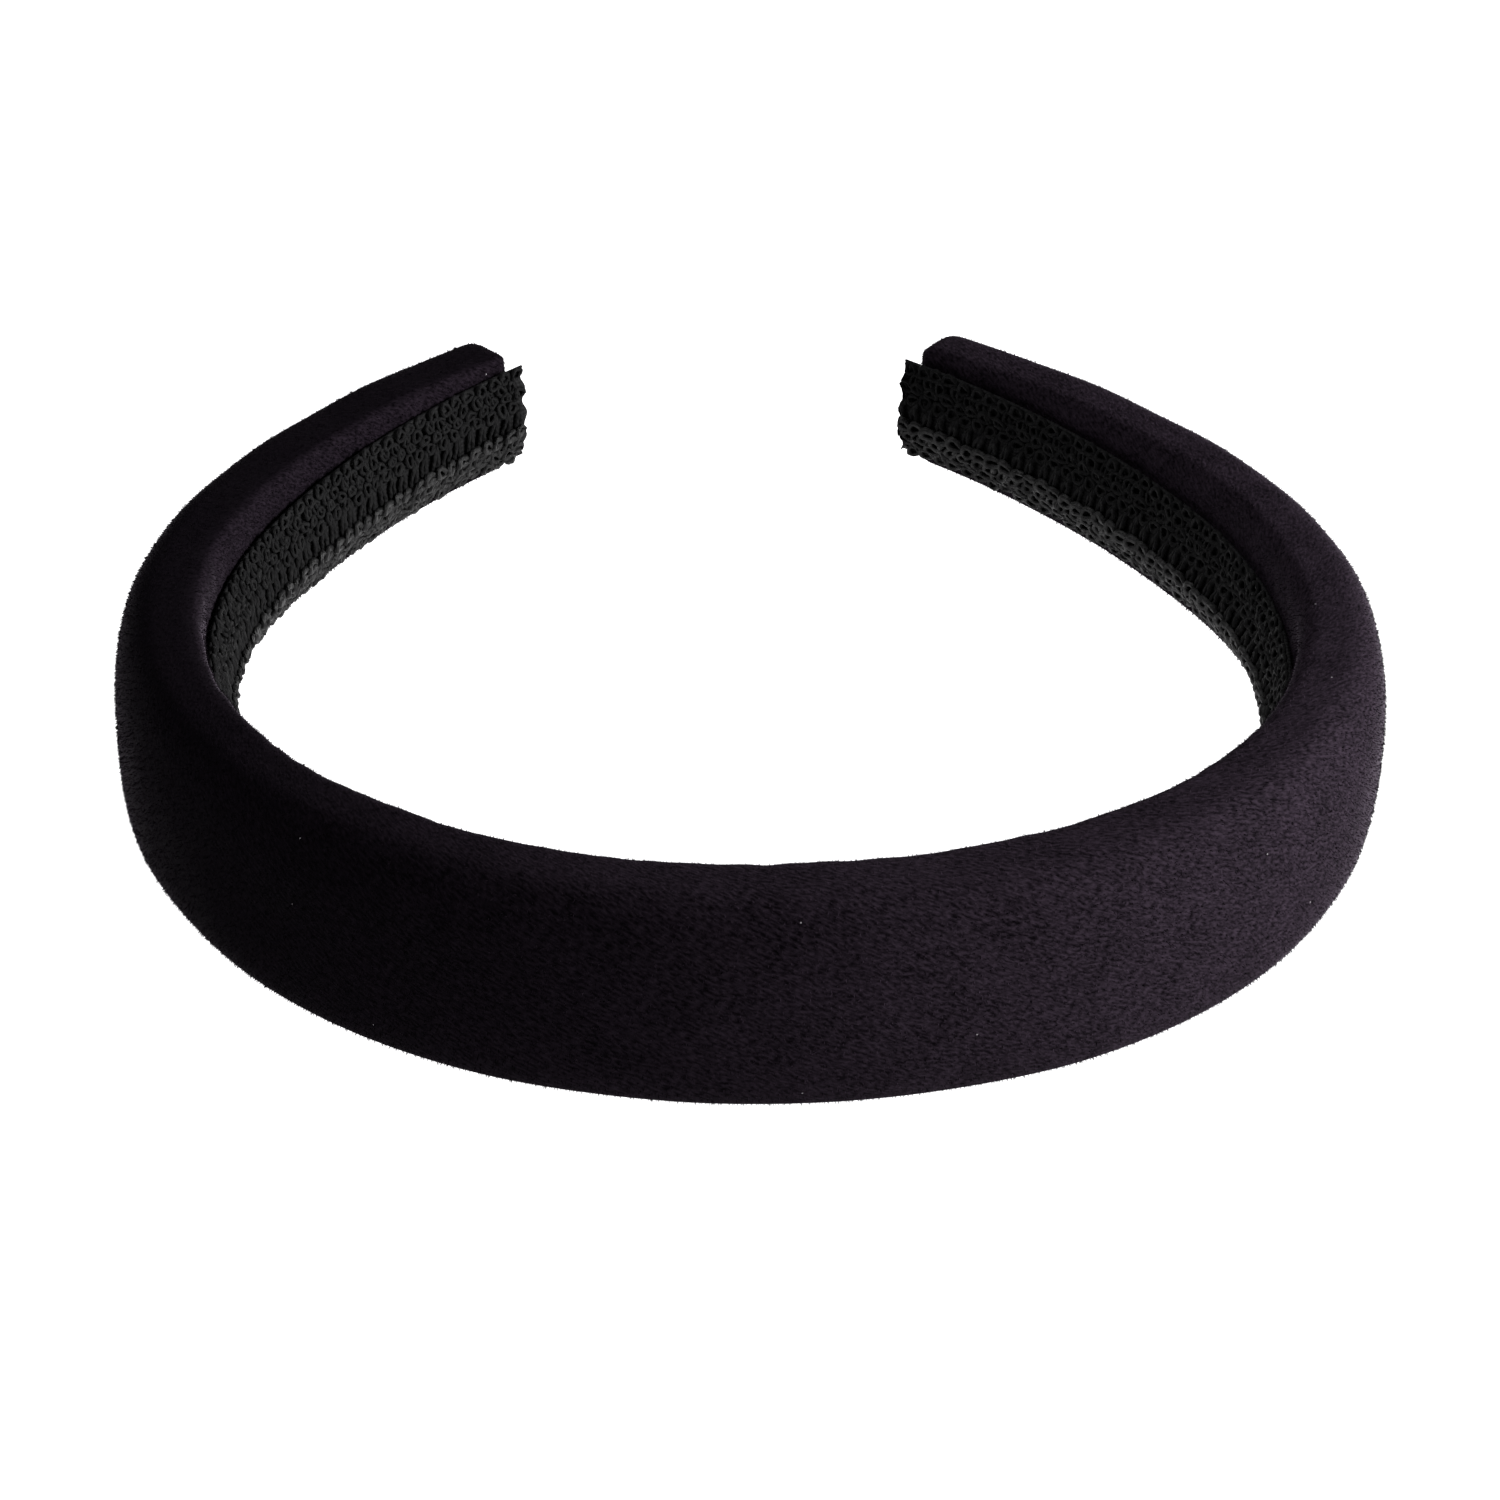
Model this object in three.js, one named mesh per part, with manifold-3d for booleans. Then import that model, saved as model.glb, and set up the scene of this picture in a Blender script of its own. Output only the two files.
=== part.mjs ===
// A padded velvet headband (Alice band) lying on its lower edge.
// Millimetres, +Z up. The crown is towards -Y and the two tips towards +Y, the band is the same on
// both sides of the plane X = 0, and the origin is under the middle of its bounding box.
//
// From the head outwards the band is a knitted lining tape, the turned-in edges of the velvet
// cover, a sprung plastic core band, a foam pad wrapped over the core, and the velvet again.
// Every piece follows one spine: s is the arc length along it from the middle of the crown, v is
// the distance from it away from the head, and z is the height above the surface it lies on.

import * as THREE from "three";
import { mergeVertices } from "three/addons/utils/BufferGeometryUtils.js";
import Module from "manifold-3d";

const wasm = await Module();
wasm.setup();

// ---- Spine: one half of the hoop, from the middle of the crown to a tip, as tangent arcs ----
const CROWN_RADIUS = 80;
const CROWN_LENGTH = 28;
const SIDE_RADIUS = 61;
const SIDE_LENGTH = 66;
const TEMPLE_RADIUS = 76;
const TEMPLE_LENGTH = 45;
const ARM_RADIUS = 130;
const ARM_LENGTH = 53.5;

// ---- Lining tape ----
const TAPE_WIDTH = 13.5;
const TAPE_THICKNESS = 1.2;
const TAPE_COVER = 4.5; // tape over each raw edge of the velvet
const TAPE_OVERHANG = 1.2; // tape past the velvet at each tip
const TOOTH_PITCH = 3.75; // pinked ends of the tape
const TOOTH_DEPTH = 1.5;

// ---- Padded section: its size at the crown and at the tips ----
const CROWN_HEIGHT = 27;
const TIP_MARGIN = 1.5; // velvet above and below the tape at a tip
const TIP_HEIGHT = TAPE_WIDTH + 2 * TIP_MARGIN;
const TAPER_POWER = 1.5; // 1 tapers evenly with depth, more keeps the height longer
const CROWN_OUTER = 7; // spine to the outermost velvet
const TIP_OUTER = 5.5;
const CROWN_INNER = 5.4; // spine to the velvet on the head side
const TIP_INNER = 3;
const CROWN_ROLL = 4.5; // rolled edge above and below the core
const TIP_ROLL = 3;
const DOME_POWER = 3.2; // how full the outer dome is: 2 is an ellipse
const ROLL_POWER = 2.6; // the same for the rolled edges on the head side
const LAND_WIDTH = 3; // flat strip that the band lies on
const END_ROUND = 2.5; // rounding of the tips

// ---- Velvet and core ----
const VELVET_THICKNESS = 1.2;
const TIP_TURN_IN = 6; // velvet folded in over each tip
const CORE_THICKNESS = 1.8;
const CORE_SETBACK = 5; // core's end to the band's tip
const CORE_CHAMFER = 0.4;
const CLEARANCE = 0.3; // between neighbouring pieces

// ---- Facets ----
const STATION_STEP = 8;
const SHORTEST_STEP = STATION_STEP / 3; // between the last station and a rounded end
const END_STEPS = 3;
const DOME_STEPS = 9;
const ROLL_STEPS = 3;
const WELD_DISTANCE = 1e-4;

const HALF_LENGTH = CROWN_LENGTH + SIDE_LENGTH + TEMPLE_LENGTH + ARM_LENGTH;

const ARCS = [
  { radius: CROWN_RADIUS, length: CROWN_LENGTH },
  { radius: SIDE_RADIUS, length: SIDE_LENGTH },
  { radius: TEMPLE_RADIUS, length: TEMPLE_LENGTH },
  { radius: ARM_RADIUS, length: ARM_LENGTH },
];

/** Point (x, y) and heading of the spine at arc length s; the last arc runs on past the tip. */
function spineAt(s) {
  let left = Math.abs(s);
  let x = 0;
  let y = 0;
  let heading = 0;
  for (const [i, arc] of ARCS.entries()) {
    const run = i === ARCS.length - 1 ? left : Math.min(left, arc.length);
    const next = heading + run / arc.radius;
    x += arc.radius * (Math.sin(next) - Math.sin(heading));
    y += arc.radius * (Math.cos(heading) - Math.cos(next));
    heading = next;
    left -= run;
  }
  return { x: Math.sign(s) * x, y, heading: Math.sign(s) * heading };
}

const TIP_DEPTH = spineAt(HALF_LENGTH).y;

/** The world point that lies v outside the spine at arc length s, at height z. */
function place([s, v, z]) {
  const { x, y, heading } = spineAt(s);
  return [x + v * Math.sin(heading), y - v * Math.cos(heading), z];
}

const { lerp } = THREE.MathUtils;

/** Sizes of the padded section at arc length s. */
function bandAt(s) {
  const along = Math.min(Math.abs(s) / HALF_LENGTH, 1);
  const depth = Math.min(spineAt(s).y / TIP_DEPTH, 1);
  const height = lerp(CROWN_HEIGHT, TIP_HEIGHT, depth ** TAPER_POWER);
  return {
    height,
    middle: height / 2,
    outer: lerp(CROWN_OUTER, TIP_OUTER, along),
    inner: lerp(CROWN_INNER, TIP_INNER, along),
    core: height - 2 * lerp(CROWN_ROLL, TIP_ROLL, along),
  };
}

/** How far an end of that radius has drawn the section in, where it is `toEnd` short of its end. */
function roundedIn(toEnd, radius) {
  if (toEnd >= radius) return 0;
  return radius - Math.sqrt(radius ** 2 - (radius - toEnd) ** 2);
}

/** One quarter of a superellipse as [cosine side, sine side] pairs, at `angle` in radians. */
function quarter(angle, power) {
  return [Math.cos(angle) ** (2 / power), Math.sin(angle) ** (2 / power)];
}

/** The rolled edge's reach on the head side, at the height `rise` from the band's middle. */
function headSide(s, rise) {
  const band = bandAt(s);
  const flat = band.core / 2;
  const land = LAND_WIDTH / 2;
  if (Math.abs(rise) <= flat) return band.inner;
  const up = Math.min((Math.abs(rise) - flat) / (band.middle - flat), 1);
  return land + (band.inner - land) * (1 - up ** ROLL_POWER) ** (1 / ROLL_POWER);
}

/** The padded section at arc length s as [v, z] points, drawn in by `inset` all round. */
function outline(s, inset) {
  const band = bandAt(s);
  const top = band.middle - inset;
  const flat = Math.min(band.core / 2, top);
  const outer = band.outer - inset;
  const inner = band.inner - inset;
  const land = Math.min(LAND_WIDTH / 2, inner, outer);
  const points = [];
  for (let i = 0; i <= DOME_STEPS; i++) {
    const angle = Math.PI * (i / DOME_STEPS - 0.5);
    const [out, up] = quarter(Math.abs(angle), DOME_POWER);
    points.push([land + (outer - land) * out, band.middle + Math.sign(angle) * top * up]);
  }
  const rolls = [];
  for (let i = 0; i <= ROLL_STEPS; i++) {
    const [out, up] = quarter((Math.PI / 2) * (1 - i / ROLL_STEPS), ROLL_POWER);
    rolls.push([-land - (inner - land) * out, flat + (top - flat) * up]);
  }
  for (const [v, up] of rolls) points.push([v, band.middle + up]);
  for (const [v, up] of rolls.reverse()) points.push([v, band.middle - up]);
  return points;
}

/** An upright rectangle from v = near to v = far, `tall` high about the band's middle. */
function slab(s, near, far, tall) {
  const { middle } = bandAt(s);
  return [
    [far, middle - tall / 2],
    [far, middle + tall / 2],
    [near, middle + tall / 2],
    [near, middle - tall / 2],
  ];
}

/** Arc lengths from one end to the other, closer together over the rounding at each end. */
function stations(reach, rounding) {
  const shared = [];
  for (let s = 0; s < reach - rounding - SHORTEST_STEP; s += STATION_STEP) shared.push(s);
  const ends = [reach];
  for (let i = 1; i <= END_STEPS && rounding > 0; i++) {
    ends.unshift(reach - rounding * (1 - Math.cos((Math.PI / 2) * (i / END_STEPS))));
  }
  const half = [...shared, ...ends];
  return [...half.slice(1).reverse().map((s) => -s), ...half];
}

/** A closed solid through rings of [s, v, z] points, all of one count, with flat ends. */
function sweep(rings) {
  const count = rings[0].length;
  const vertices = rings.flat().map(place);
  const faces = [];
  for (let i = 0; i + 1 < rings.length; i++) {
    for (let j = 0; j < count; j++) {
      const a = i * count + j;
      const b = i * count + ((j + 1) % count);
      faces.push([a, a + count, b], [b, a + count, b + count]);
    }
  }
  const section = rings[0].map(([, v, z]) => new THREE.Vector2(v, z));
  const last = (rings.length - 1) * count;
  for (const [a, b, c] of THREE.ShapeUtils.triangulateShape(section, [])) {
    faces.push([a, b, c], [last + a, last + c, last + b]);
  }
  const geometry = new THREE.BufferGeometry();
  geometry.setAttribute("position", new THREE.Float32BufferAttribute(vertices.flat(), 3));
  geometry.setIndex(faces.flat());
  return toSolid(geometry);
}

/** A manifold-3d solid from a closed geometry that holds only positions. */
function toSolid(geometry) {
  const merged = mergeVertices(geometry, WELD_DISTANCE);
  return new wasm.Manifold(
    new wasm.Mesh({
      numProp: 3,
      vertProperties: merged.attributes.position.array,
      triVerts: new Uint32Array(merged.index.array),
    }),
  );
}

/** The padded section as a solid with rounded ends, drawn in by `inset` all round. */
function paddedSolid(inset) {
  const reach = HALF_LENGTH - inset;
  const radius = END_ROUND - inset;
  const rings = stations(reach, radius).map((s) => {
    const drawnIn = inset + roundedIn(reach - Math.abs(s), radius);
    return outline(s, drawnIn).map(([v, z]) => [s, v, z]);
  });
  return sweep(rings);
}

/** The core's face on the head side, as a distance from the spine. */
function coreFace(s) {
  return -(bandAt(s).inner - VELVET_THICKNESS - CLEARANCE);
}

/** Plastic core band: an even strip with chamfered edges, tapered to rounded ends. */
function coreBand() {
  const reach = HALF_LENGTH - CORE_SETBACK;
  const rounding = bandAt(reach).core / 2;
  const rings = stations(reach, rounding).map((s) => {
    const { middle, core } = bandAt(s);
    const short = Math.max(rounding - (reach - Math.abs(s)), 0) / rounding;
    const half = Math.max((core / 2) * Math.sqrt(1 - short ** 2), 2 * CORE_CHAMFER);
    const near = coreFace(s);
    const far = near + CORE_THICKNESS;
    const corners = [
      [far, half - CORE_CHAMFER],
      [far - CORE_CHAMFER, half],
      [near + CORE_CHAMFER, half],
      [near, half - CORE_CHAMFER],
    ];
    const upper = corners.map(([v, up]) => [s, v, middle + up]);
    const lower = corners.reverse().map(([v, up]) => [s, v, middle - up]);
    return [...upper, ...lower];
  });
  return sweep(rings);
}

/** Foam pad: fills the cover, with a pocket for the core that is open on the head side. */
function foamPad() {
  const reach = HALF_LENGTH - CORE_SETBACK + CLEARANCE;
  const pocket = stations(reach, 0).map((s) => {
    const { inner, core } = bandAt(s);
    const deep = coreFace(s) + CORE_THICKNESS + CLEARANCE;
    return slab(s, -inner, deep, core + 2 * CLEARANCE).map(([v, z]) => [s, v, z]);
  });
  return paddedSolid(VELVET_THICKNESS + CLEARANCE).subtract(sweep(pocket));
}

/** Velvet cover: a closed-ended sleeve, open along the head side between its turned-in edges. */
function velvetCover() {
  const reach = HALF_LENGTH - TIP_TURN_IN;
  const slot = stations(reach, 0).map((s) => {
    const { inner } = bandAt(s);
    const near = -inner - CLEARANCE;
    const far = -inner + VELVET_THICKNESS + CLEARANCE;
    return slab(s, near, far, TAPE_WIDTH - 2 * TAPE_COVER).map(([v, z]) => [s, v, z]);
  });
  return paddedSolid(0).subtract(paddedSolid(VELVET_THICKNESS)).subtract(sweep(slot));
}

/** Lining tape: follows the head side over the slot, with pinked ends past the velvet. */
function liningTape() {
  const reach = HALF_LENGTH + TAPE_OVERHANG;
  const teeth = Math.max(Math.round(TAPE_WIDTH / TOOTH_PITCH), 1);
  const columns = 2 * teeth;
  const rings = stations(reach, 0).map((s) => {
    const { middle } = bandAt(s);
    const front = [];
    const back = [];
    for (let i = 0; i <= columns; i++) {
      const rise = TAPE_WIDTH * (i / columns - 0.5);
      const face = -headSide(s, rise) - CLEARANCE;
      const notch = Math.abs(s) === reach && i % 2 === 0 ? TOOTH_DEPTH : 0;
      const cut = s - Math.sign(s) * notch;
      front.push([cut, face - TAPE_THICKNESS, middle + rise]);
      back.push([cut, face, middle + rise]);
    }
    return [...back, ...front.reverse()];
  });
  return sweep(rings);
}

/** A named mesh from a solid, with flat facets and its own material. */
function piece(name, solid, look) {
  const { vertProperties, triVerts } = solid.getMesh();
  const shared = new THREE.BufferGeometry();
  shared.setAttribute("position", new THREE.BufferAttribute(vertProperties, 3));
  shared.setIndex(new THREE.BufferAttribute(triVerts, 1));
  const geometry = shared.toNonIndexed();
  geometry.computeVertexNormals();
  const mesh = new THREE.Mesh(geometry, new THREE.MeshStandardMaterial(look));
  mesh.name = name;
  return mesh;
}

const headband = new THREE.Group();
headband.add(
  piece("core_band", coreBand(), { color: 0x1b1a1c, roughness: 0.45, metalness: 0 }),
  piece("foam_pad", foamPad(), { color: 0x2a292b, roughness: 0.95, metalness: 0 }),
  piece("velvet_cover", velvetCover(), { color: 0x17131a, roughness: 0.9, metalness: 0 }),
  piece("lining_tape", liningTape(), { color: 0x141315, roughness: 0.7, metalness: 0 }),
);

// The hoop's middle goes over the origin; its height above the surface is already right.
const box = new THREE.Box3().setFromObject(headband);
headband.position.y = -(box.min.y + box.max.y) / 2;

export default headband;
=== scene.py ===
"""Padded velvet headband: the finished looks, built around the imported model.

The band lies on its lower edge. From the head outwards it is a knitted lining tape, the turned-in
edges of the velvet cover, a sprung core band, a foam pad, and the velvet again. Every piece follows
one spine: s is the length along it from the middle of the crown, v is the distance from it away
from the head, and z is the height above the surface that the band lies on. Sizes are in metres.
"""

import logging
import math
from dataclasses import dataclass, field
from enum import Enum

import bmesh
import bpy
import numpy as np
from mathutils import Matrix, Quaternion, Vector


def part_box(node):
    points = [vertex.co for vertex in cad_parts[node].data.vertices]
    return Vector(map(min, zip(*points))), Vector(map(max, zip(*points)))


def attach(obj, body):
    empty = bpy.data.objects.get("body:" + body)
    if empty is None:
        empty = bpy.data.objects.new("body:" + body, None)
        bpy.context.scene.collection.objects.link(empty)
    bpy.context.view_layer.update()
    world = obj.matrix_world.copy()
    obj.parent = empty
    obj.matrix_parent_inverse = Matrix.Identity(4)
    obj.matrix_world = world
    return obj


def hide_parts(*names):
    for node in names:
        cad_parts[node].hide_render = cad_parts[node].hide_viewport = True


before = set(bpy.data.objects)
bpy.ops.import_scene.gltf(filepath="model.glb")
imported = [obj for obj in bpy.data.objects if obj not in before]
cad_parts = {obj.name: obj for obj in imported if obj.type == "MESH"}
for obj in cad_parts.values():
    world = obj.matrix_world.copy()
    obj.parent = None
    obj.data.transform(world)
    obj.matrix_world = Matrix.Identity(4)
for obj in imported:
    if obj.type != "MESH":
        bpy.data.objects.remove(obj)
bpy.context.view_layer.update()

log = logging.getLogger("headband")

MM = 0.001
BODY = "root"
WELD = 0.002 * MM  # points closer than this are one point
# the head_side attribute also places the painted light on the velvet's roll
HEAD_SIDE = "head_side"  # attribute that is 1 where the velvet rolls over to the head side

# types of a group's sockets
FLOAT = "NodeSocketFloat"
INTEGER = "NodeSocketInt"
VECTOR = "NodeSocketVector"
GEOMETRY = "NodeSocketGeometry"
MATERIAL = "NodeSocketMaterial"
OBJECT = "NodeSocketObject"


class Slot(Enum):
    """The record's material slots, one for each kind of piece made here."""

    FOAM = "foam"
    VELVET = "velvet"
    LINING = "lining"


# ---------------------------------------------------------------- nodes


class Nodes:
    """Adds nodes to one tree and joins them."""

    def __init__(self, tree: bpy.types.NodeTree) -> None:
        """Starts on a tree.

        Args:
            tree: The tree that the nodes go into.
        """
        self.tree = tree

    def add(self, kind: str, inputs: dict | None = None, **settings: object) -> bpy.types.Node:
        """Adds one node.

        Args:
            kind: The node's type name.
            inputs: Socket name or number to a value, or to the socket that feeds it.
            settings: The node's own properties.

        Returns:
            The new node.
        """
        node = self.tree.nodes.new(kind)
        for name, value in settings.items():
            setattr(node, name, value)
        for key, value in (inputs or {}).items():
            if isinstance(value, bpy.types.NodeSocket):
                self.tree.links.new(value, node.inputs[key])
            else:
                node.inputs[key].default_value = value
        return node

    def math(self, operation: str, a: object, b: object = 0.0) -> bpy.types.NodeSocket:
        """Joins two numbers.

        Args:
            operation: The Math node's operation.
            a: First value or socket.
            b: Second value or socket.

        Returns:
            The result's socket.
        """
        return self.add("ShaderNodeMath", {0: a, 1: b}, operation=operation).outputs[0]

    def vector_math(self, operation: str, a: object, b: object) -> bpy.types.NodeSocket:
        """Joins two vectors.

        Args:
            operation: The Vector Math node's operation.
            a: First vector or socket.
            b: Second vector or socket.

        Returns:
            The result's socket.
        """
        node = self.add("ShaderNodeVectorMath", {0: a, 1: b}, operation=operation)
        return node.outputs["Vector"]

    def noise(self, vector: object, size: object, detail: float = 2.0) -> bpy.types.NodeSocket:
        """Adds a noise whose features are about `size` across.

        Args:
            vector: The coordinates' socket.
            size: Feature size in the coordinates' unit, a value or a socket.
            detail: Octaves.

        Returns:
            The noise's value, 0 to 1.
        """
        scale = self.math("DIVIDE", 1.0, size)
        inputs = {"Vector": vector, "Scale": scale, "Detail": detail}
        return self.add("ShaderNodeTexNoise", inputs).outputs["Fac"]

    def remap(self, value: object, low: float, high: float,
              to_low: float = 0.0, to_high: float = 1.0) -> bpy.types.NodeSocket:
        """Maps low to high onto another range, without going past its ends.

        Args:
            value: The number's socket.
            low: Start of the range it comes from.
            high: End of the range it comes from.
            to_low: Start of the range it goes to.
            to_high: End of the range it goes to.

        Returns:
            The result's socket.
        """
        inputs = {0: value, 1: low, 2: high, 3: to_low, 4: to_high}
        return self.add("ShaderNodeMapRange", inputs).outputs[0]

    def blend(self, share: float, a: object, b: object) -> bpy.types.NodeSocket:
        """Blends two numbers.

        Args:
            share: How much of the second number.
            a: First number's socket.
            b: Second number's socket.

        Returns:
            The result's socket.
        """
        return self.math("ADD", self.math("MULTIPLY", a, 1 - share),
                         self.math("MULTIPLY", b, share))

    def xyz(self, **parts: object) -> bpy.types.NodeSocket:
        """Puts numbers together as a vector."""
        return self.add("ShaderNodeCombineXYZ", parts).outputs[0]

    def parts(self, vector: object) -> object:
        """Takes a vector apart into sockets X, Y and Z."""
        return self.add("ShaderNodeSeparateXYZ", {0: vector}).outputs

    def scaled(self, vector: object, scale: object) -> bpy.types.NodeSocket:
        """Multiplies a vector by a number."""
        inputs = {0: vector, "Scale": scale}
        return self.add("ShaderNodeVectorMath", inputs, operation="SCALE").outputs["Vector"]

    def objects_own(self) -> bpy.types.NodeSocket:
        """Object coordinates."""
        return self.add("ShaderNodeTexCoord").outputs["Object"]

    def mix(self, share: object, a: tuple, b: tuple) -> bpy.types.NodeSocket:
        """Mixes two colours.

        Args:
            share: How much of the second colour, a value or a socket.
            a: First colour or socket.
            b: Second colour or socket.

        Returns:
            The colour's socket.
        """
        node = self.add("ShaderNodeMix", {"Factor": share, 6: a, 7: b}, data_type="RGBA")
        return node.outputs[2]


class Group(Nodes):
    """A node group with named inputs and outputs."""

    def __init__(self, name: str, kind: str, takes: dict, gives: dict) -> None:
        """Makes the group and its sockets.

        Args:
            name: The group's name.
            kind: ShaderNodeTree or GeometryNodeTree.
            takes: Input name to (socket type, default value or None).
            gives: Output name to socket type.
        """
        super().__init__(bpy.data.node_groups.new(name, kind))
        self.sockets = {}
        for label, (socket_type, default) in takes.items():
            socket = self.tree.interface.new_socket(label, in_out="INPUT", socket_type=socket_type)
            if default is not None:
                socket.default_value = default
            self.sockets[label] = socket.identifier
        for label, socket_type in gives.items():
            self.tree.interface.new_socket(label, in_out="OUTPUT", socket_type=socket_type)
        self.taken = self.add("NodeGroupInput").outputs
        self.given = self.add("NodeGroupOutput").inputs

    def give(self, name: str, socket: bpy.types.NodeSocket) -> None:
        """Joins a socket to one of the group's outputs."""
        self.tree.links.new(socket, self.given[name])


# ---------------------------------------------------------------- shared shader effects


def pile_grain_group() -> bpy.types.NodeTree:
    """Grain of a short pile: fine streaks along the lie of the pile, soft patches and crushed
    lines.

    Returns:
        The group, with inputs in millimetres.
    """
    group = Group(
        "PileGrain", "ShaderNodeTree",
        {
            "Vector": (VECTOR, None),
            "Grain": (FLOAT, 0.3),
            "Stretch": (FLOAT, 2.4),
            "Nap Angle": (FLOAT, -0.5),
            "Patch": (FLOAT, 7.0),
        },
        {"Fine": FLOAT, "Patches": FLOAT},
    )
    turn = group.xyz(Z=group.taken["Nap Angle"])
    turned = group.add(
        "ShaderNodeMapping", {"Vector": group.taken["Vector"], "Rotation": turn}
    ).outputs[0]
    squeeze = group.xyz(X=group.math("DIVIDE", 1.0, group.taken["Stretch"]), Y=1.0, Z=1.0)
    along_nap = group.vector_math("MULTIPLY", turned, squeeze)
    fine = group.noise(along_nap, group.taken["Grain"], detail=3.0)
    wisps = group.noise(along_nap, group.math("MULTIPLY", group.taken["Grain"], 4.0), detail=2.0)
    patches = group.noise(group.taken["Vector"], group.taken["Patch"], detail=4.0)
    group.give("Fine", group.blend(0.18, fine, wisps))
    group.give("Patches", patches)
    return group.tree


def lint_group() -> bpy.types.NodeTree:
    """Scattered specks of lint.

    Returns:
        The group, with inputs in millimetres.
    """
    group = Group(
        "Lint", "ShaderNodeTree",
        {
            "Vector": (VECTOR, None),
            "Spacing": (FLOAT, 9.0),
            "Radius": (FLOAT, 0.09),
            "Share": (FLOAT, 0.16),
        },
        {"Mask": FLOAT},
    )
    scale = group.math("DIVIDE", 1.0, group.taken["Spacing"])
    cells = group.add("ShaderNodeTexVoronoi", {"Vector": group.taken["Vector"], "Scale": scale},
                      voronoi_dimensions="2D")
    reach = group.math("MULTIPLY", group.taken["Radius"], scale)
    near = group.math("LESS_THAN", cells.outputs["Distance"], reach)
    pick = group.parts(cells.outputs["Color"])["X"]
    chosen = group.math("LESS_THAN", pick, group.taken["Share"])
    group.give("Mask", group.math("MULTIPLY", near, chosen))
    return group.tree


def painted_side_shade_group() -> bpy.types.NodeTree:
    """Painted side shade: the velvet's colour darker on one side of the hoop and full on the other,
    with painted light on its roll to the head side.

    Returns:
        The group, with object coordinates in metres.
    """
    group = Group(
        "NapLie", "ShaderNodeTree",
        {
            "Vector": (VECTOR, None),
            "Flat From": (FLOAT, -78 * MM),
            "Raised From": (FLOAT, 20 * MM),
            "Flat": (FLOAT, 0.10),
            "Raised": (FLOAT, 1.0),
            "Rolled": (FLOAT, 0.55),
            "Arm Lean": (FLOAT, 0.55),
            "Wander": (FLOAT, 14 * MM),
            "Head Side": (FLOAT, 0.0),
        },
        {"Shade": FLOAT},
    )
    place = group.parts(group.taken["Vector"])
    on_arm = group.math("MULTIPLY", group.math("MAXIMUM", place["Y"], 0.0),
                        group.taken["Arm Lean"])
    across = group.math("SUBTRACT", place["X"], on_arm)
    patch = group.math("SUBTRACT", group.noise(group.taken["Vector"], 22 * MM, 3.0), 0.5)
    way = group.math("ADD", across, group.math("MULTIPLY", patch, group.taken["Wander"]))
    inputs = {0: way, 1: group.taken["Flat From"], 2: group.taken["Raised From"],
              3: group.taken["Flat"], 4: group.taken["Raised"]}
    # painted shade: darker towards one side of the hoop, from object coordinates
    shade = group.add("ShaderNodeMapRange", inputs, interpolation_type="SMOOTHSTEP").outputs[0]
    # painted light on the roll to the head side
    roll_light = group.math("MULTIPLY", group.taken["Head Side"], group.taken["Rolled"])
    group.give("Shade", group.math("MAXIMUM", shade, roll_light))
    return group.tree


def twist_group() -> bpy.types.NodeTree:
    """Plies of a twisted thread, from a map with length in X and way round in Y.

    Returns:
        The group, with the thread's map in metres.
    """
    group = Group(
        "ThreadTwist", "ShaderNodeTree",
        {
            "Vector": (VECTOR, None),
            "Lay": (FLOAT, 0.9 * MM),
            "Plies": (FLOAT, 2.0),
            "Filament": (FLOAT, 0.11 * MM),
        },
        {"Height": FLOAT},
    )
    parts = group.parts(group.taken["Vector"])
    turns = group.math("DIVIDE", parts["X"], group.taken["Lay"])
    phase = group.math("ADD", turns, group.math("MULTIPLY", parts["Y"], group.taken["Plies"]))
    wave = group.math("SINE", group.math("MULTIPLY", phase, 2 * math.pi))
    ply = group.remap(wave, -1.0, 1.0)
    spun = group.xyz(X=group.math("MULTIPLY", parts["X"], 0.25),
                     Y=group.math("MULTIPLY", parts["Y"], 1.8 * MM))
    strands = group.remap(group.noise(spun, group.taken["Filament"], 2.0), 0.3, 0.7)
    group.give("Height", group.blend(0.55, ply, strands))
    return group.tree


class Effects:
    """The shared shader groups, each made once."""

    def __init__(self) -> None:
        """Makes the groups."""
        self.pile_grain = pile_grain_group()
        self.lint = lint_group()
        # painted side shade of the velvet and its pile
        self.painted_shade = painted_side_shade_group()
        self.twist = twist_group()


# ---------------------------------------------------------------- finishes


def blank_material(name: str) -> tuple[bpy.types.Material, Nodes, bpy.types.Node]:
    """A material with only its Principled shader.

    Args:
        name: The material's name.

    Returns:
        The material, its nodes and the shader.
    """
    material = bpy.data.materials.new(name)
    material.use_nodes = True
    return material, Nodes(material.node_tree), material.node_tree.nodes["Principled BSDF"]


def set_shader(shader: bpy.types.Node, **values: object) -> None:
    """Sets constant values on a shader's own sockets; an underscore stands for a space."""
    for name, value in values.items():
        shader.inputs[name.replace("_", " ").title().replace("Ior", "IOR")].default_value = value


def feed(nodes: Nodes, shader: bpy.types.Node, colour: object, rough: object,
         height: object = None, distance: float = 0.0, strength: float = 1.0) -> None:
    """Feeds a shader its colour, roughness and bump.

    Args:
        nodes: The material's nodes.
        shader: The Principled shader.
        colour: The base colour's socket.
        rough: The roughness's socket.
        height: The bump height's socket, if there is a bump.
        distance: Depth of the bump.
        strength: How strongly the bump shows.
    """
    nodes.tree.links.new(colour, shader.inputs["Base Color"])
    nodes.tree.links.new(rough, shader.inputs["Roughness"])
    if height is not None:
        bump = nodes.add("ShaderNodeBump",
                         {"Height": height, "Strength": strength, "Distance": distance})
        nodes.tree.links.new(bump.outputs[0], shader.inputs["Normal"])


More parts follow.
